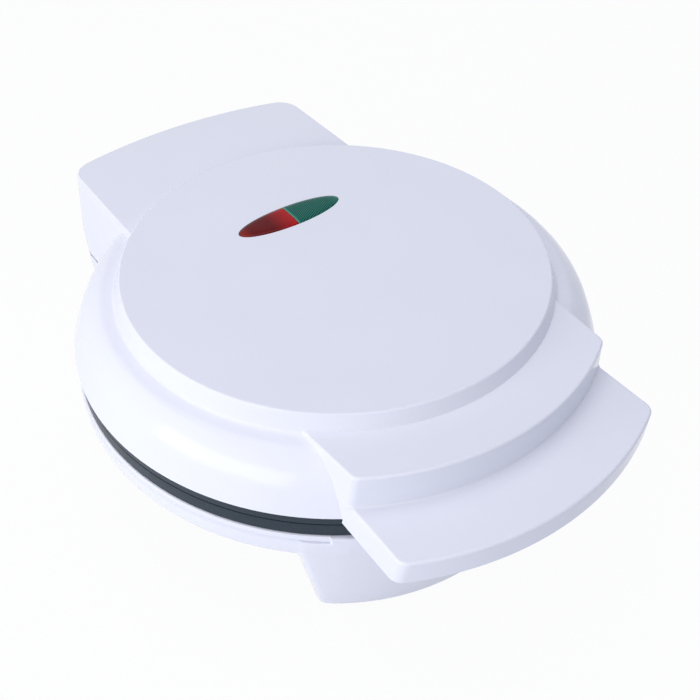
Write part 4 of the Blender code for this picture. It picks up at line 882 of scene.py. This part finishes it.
def build_plate(name, facing, flange):
    """facing is 1 for the upper plate, whose cooking side looks down, and -1 for the lower one."""
    def level(depth):
        return SPLIT_Z + facing * depth

    section = (
        (0, FLOOR_DEPTH), (CAVITY_FOOT_R - 2.0 * MM, FLOOR_DEPTH),
        (CAVITY_FOOT_R - 0.6 * MM, FLOOR_DEPTH - 0.4 * MM), (CAVITY_FOOT_R, FLOOR_DEPTH - 1.6 * MM),
        (CAVITY_R - 0.2 * MM, SEAL_GAP + 0.6 * MM), (CAVITY_R + 0.5 * MM, SEAL_GAP),
        (PLATE_R - 0.35 * MM, SEAL_GAP), (PLATE_R - 0.1 * MM, SEAL_GAP + 0.1 * MM),
        (PLATE_R, SEAL_GAP + 0.35 * MM), (PLATE_R, SEAL_GAP + flange),
        (CAVITY_R + 2.5 * MM, SEAL_GAP + flange), (CAVITY_R, BACK_DEPTH), (0, BACK_DEPTH),
    )
    plate = add_object(name + "_casting", turned([(radius, level(depth)) for radius, depth in section]))
    shapes = [stacked([(cross_outline(half), level(depth)) for half, depth in CROSS])]
    row = [FIRST_PEG + PEG_PITCH * index for index in range(PEG_ROWS)]
    for x, y, side_x, side_y in itertools.product(row, row, (-1, 1), (-1, 1)):
        if math.hypot(x, y) < CAVITY_FOOT_R - PEG_REACH:
            shapes.append(stacked([
                (peg_outline(side_x * x, side_y * y, half), level(depth)) for half, depth in PEG
            ]))
    boolean(plate, shapes, "UNION")

    sink_floor = SEAL_GAP + HEAD_SINK_DEEP
    sinks = [post(HEAD_SINK_R, place, level(-OVERRUN), level(sink_floor), steps=32)
             for place in plate_screws]
    bores = [post(BORE_R, place, level(sink_floor - 0.2 * MM), level(SEAL_GAP + flange + OVERRUN), steps=32)
             for place in plate_screws]
    boolean(plate, sinks + bores, "DIFFERENCE")
    return plate


# PTFE coating sprayed on blasted aluminium: dark grey with a blue cast and a low sheen, and pinhead specks.
coating = new_finish("dark non-stick coating", "1c2b37", 0.38, IOR=1.38, Specular_IOR_Level=0.4)
make_uneven(coating, 0.7 * MM, colours=((0.35, "182834"), (0.66, "20303e"), (0.8, "2e3d49")))
make_uneven(coating, 9 * MM, roughness=(0.34, 0.42))
make_uneven(coating, 0.5 * MM, depth=0.02 * MM, strength=0.6, detail=1.0)
dress(build_plate("lower_plate", -1, LOWER_FLANGE), "base", coating, "lower_plate")
dress(build_plate("upper_plate", 1, UPPER_FLANGE), "lid", coating, "upper_plate")

# Lenses
# Two clear coloured half lenses in one pointed oval opening, red for power and green for ready. Each has a
# crowned face above the disc and stands on a flange below it.
LENS_GAP = 0.3 * MM
LENS_LOW_Z = 95.2 * MM
LENS_FLANGE_SHARE = 1.06
LENS_FLANGE_LOW_Z = LENS_LOW_Z - 1.5 * MM
LENS_FLANGE_TOP_Z = LENS_LOW_Z + 0.4 * MM
# The crown's levels hold a share of the lens's plan and a height above the disc.
LENS_CROWN = (
    (1.0, -0.15 * MM), (0.99, 0.08 * MM), (0.965, 0.26 * MM), (0.9, 0.48 * MM),
    (0.78, 0.64 * MM), (0.6, 0.74 * MM), (0.35, 0.79 * MM),
)
PRISM_LINE = 2.7 * MM
PRISM_SLANT = math.radians(60)


def half_ellipse(side, share, steps=40):
    """Plan of one lens at a share of its full size. side is -1 for the left one and 1 for the right one."""
    points = []
    for step in range(steps + 1):
        turn = math.pi * (step / steps - 0.5)
        points.append((
            side * (LENS_GAP / 2 + (LENS_HALF_LENGTH * share - LENS_GAP / 2) * math.cos(turn)),
            LENS_Y + LENS_HALF_WIDTH * share * math.sin(turn),
        ))
    return points


def build_lens(name, side):
    """Stack one lens from its underside to its crown, and weld its flange on."""
    sections = [(half_ellipse(side, 1.0), LENS_LOW_Z)]
    sections += [(half_ellipse(side, share), DISC_TOP_Z + rise) for share, rise in LENS_CROWN]
    lens = add_object(name, stacked(sections))
    flange = block(half_ellipse(side, LENS_FLANGE_SHARE), LENS_FLANGE_LOW_Z, LENS_FLANGE_TOP_Z)
    boolean(lens, [flange], "UNION")
    return lens


def new_lens_finish(name, tip, deep, painted_glow, line, painted_glow_share, hatch, side):
    """From split to tip, a lens has a painted highlight line, a painted glow, a deep part and the tip's
    colour.

    The fine lines of the prisms show in the colour of the painted glow, as strongly as the hatch says.
    """
    material = new_finish(name, deep, 0.09, Specular_IOR_Level=0.11)
    tree = material.node_tree
    place, inputs = ends_of(material)
    x = add_node(tree, "ShaderNodeSeparateXYZ", Vector=place).outputs["X"]
    along = add_node(tree, "ShaderNodeMath", {"operation": "MULTIPLY", 1: side / LENS_HALF_LENGTH}, _0=x)
    ramp = add_node(tree, "ShaderNodeValToRGB", Fac=along.outputs[0])
    # The bright line at the split and the glow beside it are painted lamp light, not the plastic's own
    # colour.
    set_stops(
        ramp.color_ramp,
        ((0.0, line), (0.012, line), (0.025, painted_glow), (painted_glow_share, deep), (0.8, deep), (1.0, tip)),
    )
    slanted = add_node(tree, "ShaderNodeMapping", {"Rotation": (0, 0, PRISM_SLANT)}, Vector=place)
    wave = add_node(tree, "ShaderNodeTexWave", {"Scale": 1 / PRISM_LINE}, Vector=slanted.outputs[0])
    share = add_node(tree, "ShaderNodeMath", {"operation": "MULTIPLY", 1: hatch}, _0=wave.outputs["Fac"])
    mixed = add_node(
        tree, "ShaderNodeMix", {"data_type": "RGBA", 7: linear(painted_glow)},
        _0=share.outputs[0], _6=ramp.outputs[0],
    )
    tree.links.new(mixed.outputs[2], inputs["Base Color"])
    return material


# Clear coloured polystyrene, polished on top. Prisms moulded into its underside break the light into fine
# diagonal lines, drawn coarser than they are and painted in the glow's colour. Lamp light that pools beside
# the split is painted into the colour as a bright line and a glow, and the rest is deep.
red_plastic = new_lens_finish(
    "clear red polystyrene", tip="8c2818", deep="58090f", painted_glow="b0101a", line="b4101a",
    painted_glow_share=0.42, hatch=0.15, side=-1,
)
green_plastic = new_lens_finish(
    "clear green polystyrene", tip="1a6254", deep="02332c", painted_glow="2f9a88", line="46a680",
    painted_glow_share=0.05, hatch=0.55, side=1,
)
dress(build_lens("red_lens_half", -1), "lid", red_plastic, "power_lens")
dress(build_lens("green_lens_half", 1), "lid", green_plastic, "ready_lens")

# Handle cover
# A flat moulding of the same white ABS that closes the handle's hollow from below. It drops onto a ledge
# round the opening, and two screws hold it to posts inside the handle.
COVER_INSET = 1.6 * MM
# Its levels hold a height and the bevel of its lower edge there.
COVER_LEVELS = ((0.0, 0.5 * MM), (0.15 * MM, 0.15 * MM), (0.5 * MM, 0.0), (2.0 * MM, 0.0))
COVER_BORE_END_Z = HANDLE_LOW_Z + 4.0 * MM

handle_cover = add_object("handle_cover_plate", stacked([
    (handle_outline(COVER_INSET + bevel, 0.0, HANDLE_ROOT_R + bevel), HANDLE_LOW_Z + height)
    for height, bevel in COVER_LEVELS
]))
boolean(
    handle_cover,
    [post(BORE_R, place, HANDLE_LOW_Z - OVERRUN / 2, COVER_BORE_END_Z) for place in cover_screws],
    "DIFFERENCE",
)
dress(handle_cover, "lid", white_abs, "handle_cover")

# Screws
# Pan head screws of zinc-plated steel, cold headed with a cross recess: four hold each waffle plate from its
# cooking side, and two hold the handle cover.
SCREW_R = 1.5 * MM
SCREW_TIP_R = 0.5 * MM
SCREW_TIP_LONG = 1.2 * MM
SCREW_HEAD = (
    (0.0, 0.0), (1.3 * MM, 0.0), (1.9 * MM, 0.12 * MM), (2.35 * MM, 0.42 * MM), (2.6 * MM, 0.95 * MM),
    (2.6 * MM, 1.25 * MM), (2.45 * MM, 1.4 * MM), (SCREW_R, 1.4 * MM),
)
RECESS_LONG = 1.5 * MM
RECESS_WIDE = 0.32 * MM
RECESS_DEEP = 0.8 * MM


def fit_screw(name, node, body, head_low):
    """The screw fills its CAD node's box. head_low is True where its head points down."""
    low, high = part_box(node)
    x, y = (low.x + high.x) / 2, (low.y + high.y) / 2 - AXIS_Y
    length = high.z - low.z
    shank = ((SCREW_R, length - SCREW_TIP_LONG), (SCREW_TIP_R, length), (0.0, length))
    screw = add_object(name, turned(SCREW_HEAD + shank, steps=32))
    boolean(screw, [
        box_shape((-half_x, -half_y, -OVERRUN / 2), (half_x, half_y, RECESS_DEEP))
        for half_x, half_y in ((RECESS_LONG, RECESS_WIDE), (RECESS_WIDE, RECESS_LONG))
    ], "DIFFERENCE")
    if head_low:
        screw.data.transform(Matrix.Translation((x, y, low.z)))
    else:
        screw.data.transform(Matrix.Translation((x, y, high.z)) @ Matrix.Rotation(math.pi, 4, "X"))
    dress(screw, body, zinc, node)


# Zinc plating is bright, and a little uneven in its tone and its gloss.
zinc = new_finish("zinc-plated steel", "c3c6ca", 0.28, 1.0)
make_uneven(zinc, 2 * MM, colours=((0.3, "b5b9be"), (0.7, "cfd1d4")))
make_uneven(zinc, 0.4 * MM, roughness=(0.2, 0.38))
for number in FOUR:
    fit_screw(f"lower_screw_{number}", f"lower_plate_screw_{number}", "base", head_low=False)
    fit_screw(f"upper_screw_{number}", f"upper_plate_screw_{number}", "lid", head_low=True)
for side in SIDES:
    fit_screw(f"cover_screw_{side}", f"handle_cover_screw_{side}", "lid", head_low=True)

# Feet and cord ring
# Black rubber: four feet pressed into sockets of the legs, with a ring moulded into the sole of each, and
# the soft ring that lines the cord's hole in the rear wall.
FOOT_SECTION = (
    (0.0, 0.3 * MM), (2.2 * MM, 0.3 * MM), (2.5 * MM, 0.05 * MM), (2.8 * MM, 0.0), (5.3 * MM, 0.0),
    (5.9 * MM, 0.2 * MM), (6.2 * MM, 0.7 * MM), (6.2 * MM, 3.2 * MM), (0.0, 3.2 * MM),
)
RING_R = 6.2 * MM
RING_BORE_R = 3.6 * MM

# Rubber from a blasted mould: near black, matt and slightly pitted.
rubber = new_finish("black rubber", "1b1b1c", 0.75, IOR=1.5)
make_uneven(rubber, 6 * MM, colours=((0.3, "171718"), (0.7, "222223")))
make_uneven(rubber, 0.6 * MM, depth=0.05 * MM, detail=3.0)
for number, (x, y) in zip(FOUR, places_of("rubber_foot", FOUR)):
    foot = add_object(f"foot_{number}", turned(FOOT_SECTION, steps=64))
    foot.data.transform(Matrix.Translation((x, y, 0)))
    dress(foot, "base", rubber, f"rubber_foot_{number}")

ring_low, ring_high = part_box("cord_bush")
start, end = ring_low.y - AXIS_Y, ring_high.y - AXIS_Y
collar = (
    (3.9 * MM, start), (8.1 * MM, start), (8.5 * MM, start + 0.4 * MM), (8.5 * MM, start + 1.6 * MM),
    (8.1 * MM, start + 2.0 * MM), (RING_R, start + 2.0 * MM),
)
sleeve = (
    (RING_R, end - 0.6 * MM), (6.0 * MM, end - 0.15 * MM), (5.6 * MM, end), (4.2 * MM, end),
    (3.7 * MM, end - 0.2 * MM), (RING_BORE_R, end - 0.7 * MM), (RING_BORE_R, start + 0.4 * MM),
)
cord_ring = add_object("cord_ring", turned(collar + sleeve, steps=64))
cord_ring.data.transform(
    Matrix.Translation(((ring_low.x + ring_high.x) / 2, 0, (ring_low.z + ring_high.z) / 2))
    @ Matrix.Rotation(-math.pi / 2, 4, "X")
)
dress(cord_ring, "base", rubber, "cord_bush")

# Hinge pin
# A straight bright steel rod with turned ends, pushed through the barrels of both halves.
PIN_R = 2.0 * MM
PIN_HALF = 33.7 * MM
PIN_BEVEL = 0.5 * MM
PIN_SECTION = (
    (0.0, -PIN_HALF), (PIN_R - PIN_BEVEL, -PIN_HALF), (PIN_R, PIN_BEVEL - PIN_HALF),
    (PIN_R, PIN_HALF - PIN_BEVEL), (PIN_R - PIN_BEVEL, PIN_HALF), (0.0, PIN_HALF),
)

hinge_rod = add_object("hinge_rod", turned(PIN_SECTION, steps=48))
hinge_rod.data.transform(Matrix.Translation((0, HINGE_Y, HINGE_Z)) @ Matrix.Rotation(math.pi / 2, 4, "Y"))
dress(hinge_rod, "base", zinc, "hinge_pin")

# Heating and lamps
# The heaters and their pans, the thermostat and the fuse, the lamps with their holder and its screws, and
# the terminals. They keep the CAD's shapes, and sit behind the plates, below the lenses and in the rear leg.

# Drawn stainless tube that heat has turned grey brown, with bronze patches and a dry skin.
sheath = new_finish("oxidised stainless sheath", "6d6660", 0.42, 1.0)
make_uneven(sheath, 8 * MM, colours=((0.25, "57504b"), (0.55, "6f6861"), (0.8, "86715c")))
make_uneven(sheath, 0.5 * MM, depth=0.03 * MM)
# Aluminised steel sheet, which the rolls leave with long faint streaks.
sheet = new_finish("rolled aluminised sheet", "b9bbbd", 0.3, 1.0)
make_uneven(sheet, 20 * MM, roughness=(0.22, 0.42), detail=4.0, stretch=(1, 30, 30))
make_uneven(sheet, 30 * MM, colours=((0.3, "b0b2b4"), (0.7, "c2c4c6")), stretch=(1, 30, 30))
# Compression moulded phenolic resin: cream, a little cloudy, with a fine grain.
resin = new_finish("cream moulded resin", "ddd6c4", 0.45, IOR=1.5)
make_uneven(resin, 5 * MM, colours=((0.3, "d8d0bd"), (0.7, "e2dccb")))
make_uneven(resin, 0.8 * MM, depth=0.02 * MM)
# Drawn glass tube, clear and smooth.
glass = new_finish("lamp glass", "f3ece2", 0.05, IOR=1.5, Transmission_Weight=0.85)
make_uneven(glass, 2 * MM, roughness=(0.03, 0.08))
for material, nodes in (
    (sheath, ("lower_heater", "upper_heater")),
    (sheet, ("lower_reflector", "upper_reflector", "thermal_fuse")),
    (resin, ("lamp_holder", "terminal_block", "thermostat")),
    (glass, ("power_lamp", "ready_lamp")),
    (zinc, ("lamp_holder_screw_left", "lamp_holder_screw_right")),
):
    for node in nodes:
        item = frame["nodes"][node]
        item.data.materials.clear()
        item.data.materials.append(material)
